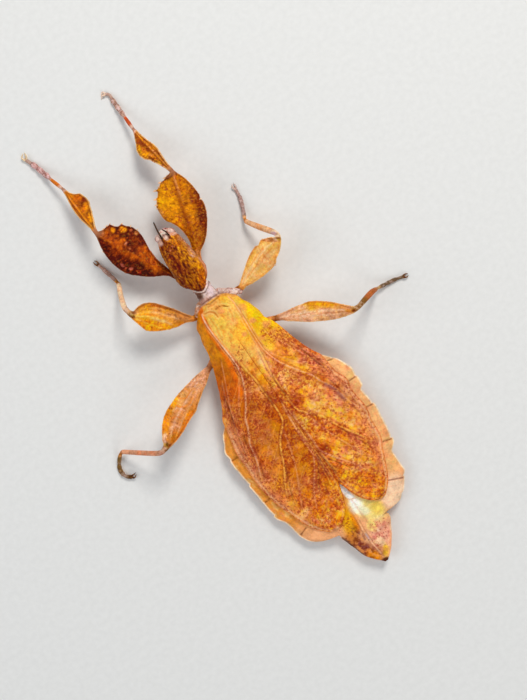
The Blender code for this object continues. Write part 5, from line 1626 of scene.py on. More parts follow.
def leg_colours(leg, p, s, a, width, over, q, lobe):
    uv_true = picture(p)
    wob = np.stack([clouds(p, 0.9, 25), clouds(p, 0.9, 29)], -1) * 1.5
    uv = uv_true + wob
    t = q - np.floor(q)
    col = np.empty(p.shape)
    rim = np.abs(s)
    edge = width * (1 - rim)
    femur = ((q >= 1) & (q < 2)).astype(float)
    tibia = ((q >= 2) & (q < 3)).astype(float)
    tarsus = (q >= 3).astype(float)
    coxa = (q < 1).astype(float)
    mottle = clouds(p, 0.9, 91)
    fine = clouds(p, 0.40, 92)
    bits = grain(p, 0.28, 93)
    front_leg = leg.startswith("leg_front")
    near_knee = ramp(q, 1.955, 1.985) * ramp(q, 2.10, 2.03)
    speck = np.full(q.shape, 0.5)
    if leg == "leg_front_left":
        col[:] = tone(138, 54, 8)
        lay(col, tone(190, 88, 12), 0.75 * ramp(mottle, 0.05, 0.45))
        lay(col, tone(74, 18, 4), 0.75 * ramp(-mottle, 0.05, 0.4))
        speck += 0.25
    elif leg == "leg_front_right":
        col[:] = tone(212, 132, 10)
        lay(col, tone(184, 92, 10), 0.6 * ramp(mottle, 0.10, 0.5))
        lay(col, tone(232, 152, 14), 0.5 * ramp(-mottle, 0.1, 0.5))
        speck += 0.1
    elif leg == "leg_middle_left":
        col[:] = tone(244, 158, 24)
        lay(col, tone(226, 132, 40), 0.5 * ramp(mottle, 0.05, 0.4))
        speck -= 0.15
    elif leg == "leg_middle_right":
        col[:] = tone(255, 176, 82)
        lay(col, tone(250, 156, 76), 0.5 * ramp(mottle, 0.05, 0.4))
        speck -= 0.2
    elif leg == "leg_hind_left":
        col[:] = tone(226, 146, 64)
        lay(col, tone(206, 122, 60), 0.5 * ramp(mottle, 0.05, 0.4))
        speck -= 0.05
    else:
        col[:] = tone(236, 180, 140)
        lay(col, tone(228, 156, 118), 0.5 * ramp(mottle, 0.05, 0.4))
        speck -= 0.15
    on_femur = ramp(q, 0.9, 1.02) * ramp(q, 2.02, 1.98)
    amber = np.zeros(q.shape)
    gilt = np.zeros(q.shape)
    for cx, cy, rx, ry, turn, rgb, k in LEG_PATCHES[leg]:
        size = 0.5 if min(rx, ry) < 3 else 0.8
        where = uv_true + 0.35 * wob if min(rx, ry) < 3 else uv
        w = k * spot(where, cx, cy, rx, ry, turn, size) * on_femur
        lay(col, tone(*rgb), w)
        amber = np.maximum(amber * (1 - w), w * (sum(rgb) > 280))
        gilt = np.maximum(gilt * (1 - w), w * (rgb[2] < 34))
    if leg == "leg_front_left":
        col *= (1 - 0.38 * (1 - amber) * on_femur)[..., None]
    # flecks finer than the patches
    if front_leg:
        lay(col, tone(206, 84, 26) if leg == "leg_front_left"
            else tone(226, 126, 20), 0.45 * ramp(bits, 0.45, 0.8) * femur)
        lay(col, tone(70, 14, 2), 0.65 * ramp(-bits, 0.35, 0.75) * femur
            * (1 - amber) * (1.0 if leg == "leg_front_left" else 0.7))
        lay(col, tone(196, 96, 10), 0.35 * ramp(fine, 0.15, 0.5) * femur)
        coarse = 1.0 if leg == "leg_front_left" else 0.55
        mottled(col, clouds(p, 0.50, 104), coarse * femur,
                (.48, .34, .26), (1.40, 1.55, 1.3))
        mottled(col, clouds(p, 0.28, 106), 0.6 * coarse * femur,
                (.55, .42, .32), (1.30, 1.40, 1.2))
    else:
        low = ((.86, .70, .54) if leg == "leg_middle_right"
               else (.66, .48, .40) if leg == "leg_hind_right"
               else (.54, .38, .28))
        mottled(col, clouds(p, 0.46, 99), 0.9 * femur, low,
                (1.22, 1.20, 1.1))
        mottled(col, clouds(p, 0.27, 100), 0.75 * femur, low,
                (1.26, 1.24, 1.2))
        uneven(col, p, femur, 170, ((0.40, .30, .34, .4), (1.5, .22, .22, .3),
                                    (2.8, .22, .20, .2)),
               (.55, .42) if leg == "leg_middle_right" else (.62, .70))
    grit = clouds(p, 0.28, 94)
    dark_bits = ramp(grit, 0.10, 0.45) * femur * (1 - amber)
    lay(col, col * 0.0 + (tone(92, 30, 4) if front_leg
                          else tone(178, 92, 30)),
        (0.60 if front_leg else 0.16) * dark_bits)
    lay(col, tone(200, 86, 40) if leg == "leg_front_left"
        else tone(234, 152, 50) if front_leg else tone(254, 196, 120),
        (0.28 if front_leg else 0.12) * ramp(-grit, 0.15, 0.5) * femur)
    # midrib and paired side veins of the lobes
    mid = bell(a, 0.17) * lobe * femur
    if leg == "leg_front_right":
        lay(col, tone(150, 66, 6), 0.75 * bell(a - 0.30, 0.42) * femur
            * ramp(q, 1.98, 1.9) * ramp(q, 1.15, 1.4))
        lay(col, tone(226, 150, 96), 0.7 * mid * ramp(q, 1.6, 1.85))
    elif leg == "leg_front_left":
        lay(col, tone(196, 100, 30), 0.5 * mid)
    else:
        lay(col, tone(250, 200, 150), 0.12 * mid)
        # thin wavy veins running the length of the lobe
        lean = a / np.maximum(width, 0.4) + 0.10 * clouds(p, 1.2, 95)
        for k, where in enumerate((-.62, -.40, -.20, .18, .38, .60)):
            lay(col, tone(252, 200, 130), 0.20 * lobe * femur * bell(
                (lean - where - 0.03 * np.sin(t * 11 + k)) * width, 0.12))
            lay(col, tone(186, 96, 46), (
                0.14 if leg == "leg_middle_right" else 0.26) * lobe
                * femur * bell(
                (lean - where - .07 - 0.03 * np.sin(t * 11 + k)) * width,
                0.12))
    drift = np.stack([clouds(p, 0.8, 97), clouds(p, 0.8, 98)], -1) * 1.0
    crests = np.zeros(q.shape)
    for path, wide, rgb, k in LEG_LINES.get(leg, ()):
        d, along, _ = line_distance(uv_true + drift, curve_points(path, 4))
        w = (bell(d, wide * 1.2) * ramp(along, -0.02, 0.08)
             * ramp(along, 1.02, 0.9) * on_femur)
        lay(col, tone(*rgb), min(k * 1.25, 0.95) * w)
        crests = crests + k * w * (1 if sum(rgb) > 480 else -0.6)
    length = 17.0 if front_leg else 13.0
    phase = (t * length - 0.75 * np.abs(a)) / (2.3 if front_leg else 1.7)
    phase = phase + 0.16 * clouds(p, 1.5, 33)
    rib = ramp(np.abs((phase % 1) - 0.5) * 2, 0.84, 1.0) * lobe * femur
    lay(col, tone(150, 66, 16) if front_leg else tone(200, 112, 54),
        (0.40 if leg != "leg_middle_right" else 0.22) * rib
        * ramp(np.abs(a), .2, .6))
    # front tibiae: pale midrib, darker beside it, mottled lobe
    if front_leg:
        lay(col, tone(224, 132, 16), tibia)
        lay(col, tone(176, 80, 8), 0.8 * tibia * ramp(mottle, 0.0, 0.35))
        lay(col, tone(120, 44, 4), 0.6 * tibia * ramp(mottle, 0.25, 0.55))
        lay(col, tone(246, 160, 30), 0.6 * tibia * ramp(-mottle, 0.2, 0.5))
        for cx, cy, rx, ry, turn, rgb, k in TIBIA_PATCHES[leg]:
            lay(col, tone(*rgb), k * tibia * spot(
                uv_true + 0.5 * wob, cx, cy, rx, ry, turn, 0.8))
        mottled(col, clouds(p, 0.34, 101), 0.8 * tibia)
        lay(col, tone(110, 44, 6), 0.35 * tibia * lobe * ramp(grit, .15, .5))
        lay(col, tone(250, 176, 60), 0.25 * tibia * lobe * ramp(
            -grit, 0.15, 0.45))
        lay(col, tone(130, 58, 6), 0.65 * tibia * bell(np.abs(a) - 0.30, .10))
        lay(col, tone(232, 146, 44), 0.85 * tibia * bell(a - 0.10, 0.10))
        lay(col, tone(206, 118, 30), 0.70 * tibia * bell(a + 0.12, 0.09))
        lay(col, tone(236, 170, 120), 0.6 * tibia * bell(a, 0.12) * ramp(
            mottle, 0.1, 0.4))
        lay(col, tone(96, 40, 10), 0.6 * tibia * bell(edge - .40, 0.12)
            * lobe)
        lay(col, tone(228, 186, 122), 0.9 * tibia * ramp(edge, 0.30, 0.14)
            * lobe)
        lay(col, tone(190, 136, 110), 0.7 * ramp(q, 2.12, 2.05) * tibia)
        lay(col, tone(220, 180, 160), 0.8 * ramp(q, 2.93, 2.98) * tibia)
        lay(col, tone(204, 112, 40) if leg == "leg_front_left"
            else tone(186, 78, 44), tarsus)
        lay(col, tone(216, 176, 156), tarsus * ramp(t, 0.13, 0.05))
        last = FOOT_JOINTS[leg][4]
        bead = tarsus * ramp(t, 0.32, 0.36)
        lay(col, tone(186, 138, 134) if leg == "leg_front_left"
            else tone(188, 150, 134), bead)
        # pale dots on the pads: partly their own pinkish-white spots, partly
        # painted highlight
        lay(col, tone(226, 196, 196), 0.7 * bead * ramp(grit, 0.02, 0.35))
        lay(col, tone(120, 66, 58), 0.7 * bead * ramp(-grit, 0.05, 0.4))
        lay(col, tone(232, 196, 180), 0.6 * tarsus * bell(t - 0.335, 0.02))
        lay(col, tone(150, 60, 30), 0.5 * tarsus * ramp(-grit, 0.1, 0.4)
            * (1 - ramp(t, 0.33, 0.38)))
        lay(col, tone(180, 150, 136), 0.8 * tarsus * ramp(
            t, last - .02, last + .02))
        lay(col, tone(176, 110, 60), coxa)
        lay(col, tone(120, 54, 16), 0.6 * coxa * ramp(mottle, 0.0, 0.4))
        if leg == "leg_front_right":
            under = spot(uv, 203, 272, 6, 16, -8, 0.6) * ramp(q, 1.3, 1.1)
            lay(col, tone(204, 116, 16), under)
            lay(col, tone(226, 160, 120), 0.6 * under * ramp(
                np.abs(s), 0.5, 0.9))
    else:
        bone = {"leg_middle_left": tone(244, 204, 168),
                "leg_middle_right": tone(222, 172, 130),
                "leg_hind_left": tone(214, 150, 118),
                "leg_hind_right": tone(176, 92, 36)}[leg]
        warm = {"leg_middle_left": tone(232, 182, 142),
                "leg_middle_right": tone(222, 142, 78),
                "leg_hind_left": tone(214, 122, 84),
                "leg_hind_right": tone(186, 92, 34)}[leg]
        end = {"leg_middle_left": tone(190, 152, 138),
               "leg_middle_right": tone(164, 134, 128),
               "leg_hind_left": tone(116, 88, 52),
               "leg_hind_right": tone(108, 88, 68)}[leg]
        lay(col, bone, tibia)
        lay(col, warm, 0.7 * tibia * ramp(mottle, -0.1, 0.3))
        mottled(col, clouds(p, 0.36, 102), 0.40 * tibia)
        lay(col, tone(96, 60, 30), 0.35 * tibia * ramp(-fine, 0.1, 0.4)
            * (1.4 if leg == "leg_hind_right" else 0.6))
        if leg == "leg_hind_right":
            lay(col, tone(112, 84, 34), 0.8 * tibia * ramp(q, 2.35, 2.15))
            lay(col, tone(206, 186, 120), 0.8 * bell(q - 3.02, 0.04))
        if leg == "leg_middle_right":
            lay(col, tone(196, 166, 160), 0.8 * tibia * ramp(q, 2.16, 2.08))
        lay(col, end, tarsus * ramp(q, 3.0, 3.15))
        lay(col, end * 0.45, 0.6 * tarsus * ramp(fine, 0.05, 0.4))
        lay(col, tone(214, 190, 184), (0.15 if leg == "leg_hind_left" else
                                       0.4) * tarsus * ramp(-fine, 0.1, 0.4))
        if leg == "leg_hind_left":
            lay(col, tone(176, 150, 138), 0.8 * tarsus * bell(t - 0.78, 0.1))
            lay(col, tone(70, 36, 20), 0.8 * tarsus * ramp(t, 0.88, 0.95))
        lay(col, tone(226, 150, 84) if "right" in leg
            else tone(206, 132, 84), coxa)
        lay(col, tone(150, 70, 30), 0.5 * coxa * ramp(mottle, 0.1, 0.4))
    if leg == "leg_middle_right":
        lay(col, tone(236, 140, 50), 0.9 * coxa * ramp(q, 0.5, 0.9))
        lay(col, tone(110, 34, 14), 0.9 * bell(q - 1.02, 0.018))
    # joints between the pads of the tarsi
    for k in FOOT_JOINTS.get(leg, (0.0, 0.36, 0.52, 0.64, 0.75, 1.0))[1:5]:
        lay(col, tone(96, 60, 54), 0.6 * tarsus * bell(t - k, 0.012))
    if front_leg:
        lay(col, tone(150, 96, 70), 0.85 * near_knee)
    else:
        joint = {"leg_middle_left": tone(204, 160, 146),
                 "leg_middle_right": tone(206, 166, 158),
                 "leg_hind_left": tone(196, 140, 122),
                 "leg_hind_right": tone(110, 68, 30)}[leg]
        lay(col, joint, 0.9 * ramp(q, 1.975, 1.99) * ramp(q, 2.14, 2.05))
        zone = ramp(q, 1.91, 1.95) * ramp(q, 2.17, 2.10)
        for cx, cy, rx, ry, turn, rgb, k in KNEES[leg]:
            lay(col, tone(*rgb), k * zone * spot(
                uv_true + 0.25 * wob, cx, cy, rx, ry, turn, 0.7))
        lay(col, tone(110, 62, 44), 0.55 * zone * (q > 1.975)
            * ramp(fine, 0.05, 0.35))
        lay(col, tone(236, 206, 180), 0.35 * zone * (q > 1.975)
            * ramp(-fine, 0.05, 0.35))
    lay(col, tone(130, 60, 36), 0.6 * bell(q - 3.0, 0.02))
    lay(col, tone(120, 62, 30), 0.5 * bell(q - 1.03, 0.03))
    height = 0.06 * rib + 0.03 * fine * lobe + 0.02 * bits * lobe
    height = height + 0.05 * mid - 0.03 * bell(np.abs(a) - .45, .15) * lobe
    height = height + 0.05 * crests
    if not front_leg:
        col[..., 2] *= 1 - 0.80 * gilt * on_femur
    # thin dark line inside the lobe's edge, paler rim at the very edge
    lay(col, tone(80, 22, 6) if front_leg else tone(160, 80, 30),
        (0.65 if front_leg else 0.34) * bell(edge - 0.34, 0.13) * lobe
        * femur)
    pale = tone(232, 190, 150) if front_leg else tone(250, 204, 140)
    teeth = lobe * ramp(edge, 0.16, 0.05)
    if not front_leg:
        teeth = lobe * ramp(edge, 0.25, 0.10)
    lay(col, pale, (0.35 if leg == "leg_front_left" else 0.60) * teeth)
    if leg == "leg_front_left":
        lay(col, tone(226, 184, 160), 0.8 * teeth * spot(
            uv_true, 111, 226, 10, 5, 10, .6))
        lay(col, tone(222, 190, 160), 0.6 * teeth * spot(
            uv_true, 101, 246, 5, 14, -20, .6))
    under = ramp(over, 0, -1)
    lay(col, tone(220, 150, 80), 0.20 * under)
    speck = speck * (1 - 0.8 * tarsus) * (1 - 0.6 * tibia * (1 - lobe))
    if leg == "leg_front_left":
        speck = speck * (0.35 + 0.65 * amber)
    wax = 0.1 * tarsus + 0.1 * tibia
    if leg == "leg_hind_left":
        wax = wax + femur * (0.20 + 0.65 * spot(uv, 185, 404, 10, 28, 32, .8))
    elif leg == "leg_middle_left":
        wax = wax + 0.45 * femur * ramp(mottle, -0.3, 0.2)
    elif not front_leg:
        wax = wax + 0.40 * femur * ramp(mottle, -0.3, 0.2)
    marks = np.stack([np.clip(speck, 0, 1), 0.25 + 0.6 * lobe, wax], -1)
    return col, marks, height


edges = {}
for leg in FEMORA:
    front = leg.startswith("leg_front")
    g, s, a, width, over, q, lobe = leg_grid(leg, 0.10 if front else 0.12,
                                             72 if front else 50)
    nrm = normals_of(g)
    tint, marks, high = leg_colours(leg, g, s, a, width, over, q, lobe)
    g = g + nrm * high[..., None]
    g[..., 2] = np.maximum(g[..., 2], 0.0)
    skin.add(g, tint, marks)
    edges[leg] = g


# ------------------------------------------------------------ mouth parts
def tube_grid(path, radii, sides=14, step=0.1, flat=1.0):
    pts = resample(np.column_stack([curve_points(path, step),
                                    np.interp(np.linspace(0, 1, len(
                                        curve_points(path, step))),
                                        np.linspace(0, 1, len(radii)),
                                        radii)]), step)
    pos, r = pts[:, :3], pts[:, 3]
    along = np.gradient(pos, axis=0)
    along /= np.linalg.norm(along, axis=1, keepdims=True)
    ref = np.array([0.0, 0.0, 1.0])
    side = np.cross(along, ref)
    side /= np.maximum(np.linalg.norm(side, axis=1, keepdims=True), 1e-6)
    up_ = np.cross(side, along)
    ang = 2 * np.pi * np.arange(sides) / sides
    return (pos[:, None] + (side[:, None] * np.cos(ang)[None, :, None]
                            + up_[:, None] * flat
                            * np.sin(ang)[None, :, None])
            * r[:, None, None])


def add_tube(shell, path, radii, colour, marks=(0.1, 0.2, 0.2), **kw):
    g = tube_grid(path, radii, **kw)
    g[..., 2] = np.maximum(g[..., 2], 0.0)
    shell.add(g, np.broadcast_to(colour, g.shape) * 1.0,
              np.broadcast_to(np.array(marks), g.shape) * 1.0)


# Small thorns along the front femora: leg, place in the picture, length.
THORNS = [("leg_front_right", 161.5, 176.5, .34),
          ("leg_front_right", 157.6, 181, .34),
          ("leg_front_right", 155.6, 185.5, .20),
          ("leg_front_right", 154.6, 190.5, .34),
          ("leg_front_right", 153.6, 198.5, .32),
          ("leg_front_right", 155.0, 205.5, .30),
          ("leg_front_right", 165, 174.5, .22),
          ("leg_front_right", 156.3, 209.5, .18),
          ("leg_front_right", 200.3, 199, .22),
          ("leg_front_left", 102.6, 228, .30),
          ("leg_front_left", 105.4, 225, .30),
          ("leg_front_left", 109.5, 223.5, .18),
          ("leg_front_left", 114.5, 222.5, .18),
          ("leg_front_left", 121, 222.3, .24),
          ("leg_front_left", 131, 225.3, .26),
          ("leg_front_left", 138, 229.4, .26),
          ("leg_front_left", 103, 251.5, .18),
          ("leg_middle_right", 276.5, 266, .22),
          ("leg_middle_right", 262.5, 238.6, .16)]
for leg, px, py, size in THORNS:
    g = edges[leg]
    far = np.linalg.norm(picture(g) - np.array([px, py]), axis=-1)
    i, j = np.unravel_index(np.argmin(far), far.shape)
    at, inside = g[i, j], g[i].mean(0)
    way = unit(at - inside) * np.array([1, 1, 0.2])
    size = size * 1.35
    r = 0.30 * size + 0.05
    add_tube(skin, [at - way * 0.22, at + way * size * 0.4,
                    at + way * size], [r * 1.2, r, r * 0.6, 0.02],
             tone(232, 184, 140), marks=(0.0, 0.1, 0.2), sides=10, step=0.05,
             flat=0.7)

def limb(path, radii, sides, ground, ring, joints, flat=1.0):
    """Small jointed mouth part, darker at its joints."""
    g = tube_grid(path, radii, sides=sides, step=0.04, flat=flat)
    t = np.broadcast_to(np.linspace(0, 1, len(g))[:, None], g.shape[:2])
    col = np.empty(g.shape)
    col[:] = ground
    lay(col, ground * 0.45, 0.6 * ramp(clouds(g, 0.22, 46), 0.1, 0.4))
    for k in joints:
        lay(col, ring, 0.8 * bell(t - k, 0.03))
    skin.add(g, col, np.broadcast_to(np.array([.1, .2, .2]), g.shape) * 1.0)


for sx in (-1, 1):
    limb([(sx * .80 + .15, 14.6, 6.05), (sx * 1.08 + .15, 15.15, 5.75),
          (sx * .98 + .15, 15.55, 5.45), (sx * .70 + .15, 15.72, 5.2)],
         [.11, .15, .12, .16, .11, .14, .12, .07], 14, tone(176, 112, 74),
         tone(90, 44, 34), (.28, .55, .78))
    limb([(sx * .42 + .15, 14.5, 5.9), (sx * .58 + .15, 15.0, 5.55),
          (sx * .40 + .15, 15.25, 5.25)],
         [.09, .12, .09, .12, .06], 12, tone(168, 104, 70),
         tone(90, 44, 34), (.4, .7))
    # mandibles, folded under the lip
    limb([(sx * .62 + .15, 15.05, 6.25), (sx * .52 + .15, 15.5, 6.0),
          (sx * .12 + .15, 15.62, 5.85)], [.26, .26, .20, .08], 16,
         tone(120, 60, 36), tone(60, 22, 16), (.95,))
# upper lip: a low wide plate under the front, with a notch in the middle
for sx in (-1, 1):
    limb([(sx * .10 + .15, 15.35, 6.78), (sx * .26 + .17, 15.72, 6.50),
          (sx * .30 + .17, 15.78, 6.15)], [.30, .38, .40, .34, .14], 20,
         tone(206, 156, 136), tone(130, 76, 66), (.42,), flat=0.42)


# ------------------------------------------------------------ shoulders
def shoulder(path, radii, flat, ground, shade, light):
    """Soft plate between the neck and the root of a middle leg."""
    g = tube_grid(path, radii, sides=44, step=0.08, flat=flat)
    n = normals_of(g)
    fold = clouds(g * np.array([1, 2.0, 1]), 0.8, 44)
    bits = clouds(g, 0.35, 45)
    col = np.empty(g.shape)
    col[:] = ground
    lay(col, shade, 0.8 * ramp(fold, 0.05, 0.4))
    lay(col, light, 0.8 * ramp(-fold, 0.05, 0.35))
    lay(col, tone(120, 60, 40), 0.7 * ramp(bits, 0.25, 0.5))
    # small white spots of painted highlight
    lay(col, tone(250, 236, 228), 0.6 * ramp(-bits, 0.3, 0.5))
    g = g + n * (0.16 * fold + 0.09 * bits)[..., None]
    skin.add(g, col, np.broadcast_to(np.array([.15, .3, .2]), g.shape) * 1.0)


shoulder([(1.3, 0.15, 6.2), (2.5, -0.35, 6.2), (3.7, -1.25, 6.0),
          (4.8, -1.95, 5.6), (5.6, -2.45, 5.1), (6.0, -2.9, 4.8)],
         [.50, .68, .76, .80, .78, .58, .30], 0.95, tone(212, 184, 178),
         tone(166, 112, 104), tone(244, 226, 220))
shoulder([(-1.0, 0.1, 5.9), (-2.1, -0.5, 5.8), (-3.2, -1.3, 5.5),
          (-4.1, -2.0, 5.0)], [.50, .70, .78, .68, .35], 0.95,
         tone(204, 150, 116), tone(150, 84, 56), tone(232, 200, 178))


# ------------------------------------------------------------ materials
def value_node(nodes, kind, **inputs):
    node = nodes.new(kind)
    for key, val in inputs.items():
        node.inputs[key].default_value = val
    return node


def cuticle(name, roughness, speck_tone, bump, cell, gloss, patch=0.16,
            speck_size=2.0):
    """Layered insect cuticle: tinted ground, speckles, fine net and grain."""
    mat = bpy.data.materials.new(name)
    mat.use_nodes = True
    nt = mat.node_tree
    nodes, links = nt.nodes, nt.links
    bsdf = nodes["Principled BSDF"]
    coord = nodes.new("ShaderNodeTexCoord")
    place = nodes.new("ShaderNodeMapping")
    place.inputs["Scale"].default_value = (1000, 1000, 1000)
    links.new(coord.outputs["Object"], place.inputs["Vector"])
    mm = place.outputs["Vector"]
    tint = nodes.new("ShaderNodeAttribute")
    tint.attribute_name = "tint"
    marks = nodes.new("ShaderNodeAttribute")
    marks.attribute_name = "marks"
    split = nodes.new("ShaderNodeSeparateColor")
    links.new(marks.outputs["Color"], split.inputs["Color"])
    dense, net, wax = (split.outputs[k] for k in ("Red", "Green", "Blue"))

    def math_node(op, a, b=None, clamp=False):
        n = nodes.new("ShaderNodeMath")
        n.operation = op
        n.use_clamp = clamp
        for i, v in enumerate((a, b)):
            if v is None:
                continue
            if isinstance(v, (int, float)):
                n.inputs[i].default_value = v
            else:
                links.new(v, n.inputs[i])
        return n.outputs[0]

    def span(value, a, b, c=0.0, d=1.0):
        n = nodes.new("ShaderNodeMapRange")
        n.interpolation_type = "SMOOTHSTEP"
        for i, v in enumerate((value, a, b, c, d)):
            if isinstance(v, (int, float)):
                n.inputs[i].default_value = v
            else:
                links.new(v, n.inputs[i])
        return n.outputs[0]

    def noise(scale, detail=3.0, rough=0.6, distort=0.0):
        n = nodes.new("ShaderNodeTexNoise")
        n.inputs["Scale"].default_value = scale
        n.inputs["Detail"].default_value = detail
        n.inputs["Roughness"].default_value = rough
        n.inputs["Distortion"].default_value = distort
        links.new(mm, n.inputs["Vector"])
        return n

    def mix(a, b, factor, kind="MIX"):
        n = nodes.new("ShaderNodeMix")
        n.data_type = "RGBA"
        n.blend_type = kind
        for sock, v in ((n.inputs[0], factor), (n.inputs[6], a),
                        (n.inputs[7], b)):
            if isinstance(v, (int, float)):
                sock.default_value = v
            elif isinstance(v, tuple):
                sock.default_value = (*v, 1)
            else:
                links.new(v, sock)
        return n.outputs[2]

    ground = tint.outputs["Color"]
    # broad and fine unevenness of the ground colour
    broad = noise(0.55, 3)
    light = span(broad.outputs[0], 0.30, 0.70, 1 - patch, 1 + patch)
    fine = noise(2.6, 4, 0.65)
    light = math_node("MULTIPLY", light,
                      span(fine.outputs[0], 0.3, 0.7, 0.88, 1.12))
    shade = nodes.new("ShaderNodeCombineColor")
    for k in ("Red", "Green", "Blue"):
        links.new(light, shade.inputs[k])
    colour = mix(ground, shade.outputs[0], 1.0, "MULTIPLY")
    # speckles: irregular blots, closer and larger where dense is high
    wobble = noise(1.7, 2)
    shifted = nodes.new("ShaderNodeVectorMath")
    shifted.operation = "MULTIPLY_ADD"
    links.new(wobble.outputs["Color"], shifted.inputs[0])
    shifted.inputs[1].default_value = (0.55, 0.55, 0.55)
    links.new(mm, shifted.inputs[2])
    clump = span(noise(0.42, 2).outputs[0], 0.32, 0.68, -0.30, 0.22)
    amount = math_node("MULTIPLY", dense, math_node("ADD", clump, 1.0))
    blots = noise(speck_size, 2.5, 0.62, 0.4)
    level = span(amount, 0.0, 1.0, 0.74, 0.455)
    dot = span(blots.outputs[0], level, math_node("ADD", level, 0.07))
    hue = span(noise(0.8, 2).outputs[0], 0.40, 0.60)
    stained = mix(ground, speck_tone, 1.0, "MULTIPLY")
    stained = mix(stained, (0.36, 0.07, 0.045),
                  math_node("MULTIPLY", hue, 0.35))
    colour = mix(colour, stained, math_node("MULTIPLY", dot, 0.80))
    # finer second set of freckles, and lighter yellow flecks between
    blots2 = noise(speck_size * 2.1, 2, 0.6)
    dot2 = span(blots2.outputs[0], math_node("ADD", level, 0.02),
                math_node("ADD", level, 0.10))
    colour = mix(colour, stained, math_node("MULTIPLY", dot2, 0.42))
    flecks = noise(speck_size * 0.8, 2, 0.6, 0.3)
    fleck = span(flecks.outputs[0], 0.57, 0.68)
    fleck = math_node("MULTIPLY", fleck, math_node("MULTIPLY", amount, 0.5))
    colour = mix(colour, (0.90, 0.40, 0.04), fleck)
    # fine net of veinlets
    cells = nodes.new("ShaderNodeTexVoronoi")
    cells.feature = "DISTANCE_TO_EDGE"
    cells.inputs["Scale"].default_value = cell
    links.new(shifted.outputs[0], cells.inputs["Vector"])
    wire = span(cells.outputs["Distance"], 0.13, 0.02)
    wire_in = math_node("MULTIPLY", wire, net)
    colour = mix(colour, mix(ground, (0.80, 0.56, 0.42), 1.0, "MULTIPLY"),
                 math_node("MULTIPLY", wire_in, 0.38))
    colour = mix(colour, (0.80, 0.34, 0.08),
                 math_node("MULTIPLY", wire, math_node("MULTIPLY", wax,
                                                       0.62)))
    links.new(colour, bsdf.inputs["Base Color"])
    # roughness
    rough = span(fine.outputs[0], 0.3, 0.7, roughness - 0.07,
                 roughness + 0.09)
    rough = math_node("SUBTRACT", rough, math_node("MULTIPLY", wax, 0.10))
    links.new(rough, bsdf.inputs["Roughness"])
    # relief
    pits = noise(5.5, 4, 0.6)
    high = math_node("MULTIPLY", pits.outputs[0], 0.5)
    high = math_node("ADD", high, math_node("MULTIPLY", wire_in, 0.55))
    high = math_node("ADD", high, math_node("MULTIPLY", dot, -0.10))
    high = math_node("ADD", high,
                     math_node("MULTIPLY", fine.outputs[0], 0.7))
    relief = nodes.new("ShaderNodeBump")
    relief.inputs["Strength"].default_value = bump
    relief.inputs["Distance"].default_value = 0.00012
    links.new(high, relief.inputs["Height"])
    links.new(relief.outputs[0], bsdf.inputs["Normal"])
    bsdf.inputs["Specular IOR Level"].default_value = gloss
    bsdf.inputs["Specular Tint"].default_value = (1.0, 0.74, 0.46, 1)
    bsdf.inputs["Subsurface Weight"].default_value = 0.08
    bsdf.inputs["Subsurface Radius"].default_value = (1.0, 0.45, 0.2)
    bsdf.inputs["Subsurface Scale"].default_value = 0.0005
    return mat


SPECK_RED = (0.52, 0.15, 0.09)
body_mat = cuticle("body_cuticle", 0.50, SPECK_RED, 0.60, 1.25, 0.16)
wing_mat = cuticle("tegmen_cuticle", 0.46, SPECK_RED, 0.60, 1.15, 0.18)
claw_mat = cuticle("claw_horn", 0.30, (0.4, 0.3, 0.25), 0.2, 2.0, 0.5)
eye_mat = cuticle("eye_surface", 0.14, (0.45, 0.3, 0.3), 0.30, 9.0, 0.75, 0.06)
feeler_mat = cuticle("antenna_surface", 0.42, (0.4, 0.3, 0.25), 0.4, 3.0, 0.45)

flesh = [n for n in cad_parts
         if not n.startswith(("eye_", "antenna_", "tegmen_"))]
skin.build("insect_skin", body_mat, "body_cuticle", *sorted(flesh))


# ------------------------------------------------------------ tegmina
def tegmen_grid(sign):
    ys = np.concatenate([np.linspace(-6.0, -12, 40),
                         np.linspace(-12.15, -50, 240),
                         np.linspace(-50.1, -52.75, 30)])
    n = 100
    x = (np.arange(n) + 0.5) / n
    u = x + 0.045 * np.sin(2 * np.pi * x) * -1
    u = np.clip(u, 0.0005, 0.9995)
    yy, uu = np.meshgrid(ys, np.concatenate([u, u[::-1]]), indexing="ij")
    over = np.concatenate([np.ones(n), -np.ones(n)])[None] * np.ones_like(yy)
    outer = smooth(column(TEGMEN_OUTLINE, 2 if sign > 0 else 1), yy) * sign
    inner = smooth(column(TEGMEN_OUTLINE, 3), yy)
    # the left tegmen lies over the right one at the seam
    close = ramp(yy, -47, -44)
    lap = (-0.12 if sign < 0 else -0.22) * close
    inside = RIDGE_X + sign * (inner - 0.10 * close) + (
        lap if sign > 0 else -lap)
    edge_noise = 0.06 * clouds(np.stack([yy, yy * 0 + sign, yy * 0], -1),
                               1.2, 51, 2) * ramp(uu, 0.8, 1.0)
    xx = inside + (outer - inside) * uu + edge_noise * sign
    sink = 0.55 * ramp(yy, -9.0, -7.0)
    base = roof(xx, yy) - sink
    width = np.abs(outer - inside)
    off = (1 - uu) * width                    # distance from the outer edge
    near = uu * width                         # distance from the seam
    base = base - 0.40 * ramp(off, 1.6, 0.0) * ramp(yy, -8, -12)
    if sign > 0:
        base = base - 0.20 * ramp(near, 0.9, 0.3) * close
    else:
        base = base + 0.05 * ramp(near, 0.6, 0.1) * close
    # fields between the main veins sag a little, and the margin waves
    base = base + 0.12 * np.sin(yy * 0.75 + 1.3 * sign) * ramp(off, 2.5, 0)
    edge = np.minimum(off, near)
    thick = 0.16 + 0.26 * ramp(edge, 0.0, 1.6)
    thick = thick * np.sqrt(np.maximum(0, 1 - (1 - np.clip(
        edge / 0.12, 0, 1)) ** 2)) + 0.01
    end = ramp(yy, -52.75, -52.2)
    thick = thick * (0.25 + 0.75 * end)
    grid = np.stack([xx, yy, base - np.where(over > 0, 0, thick)], -1)
    return grid, over, off, near


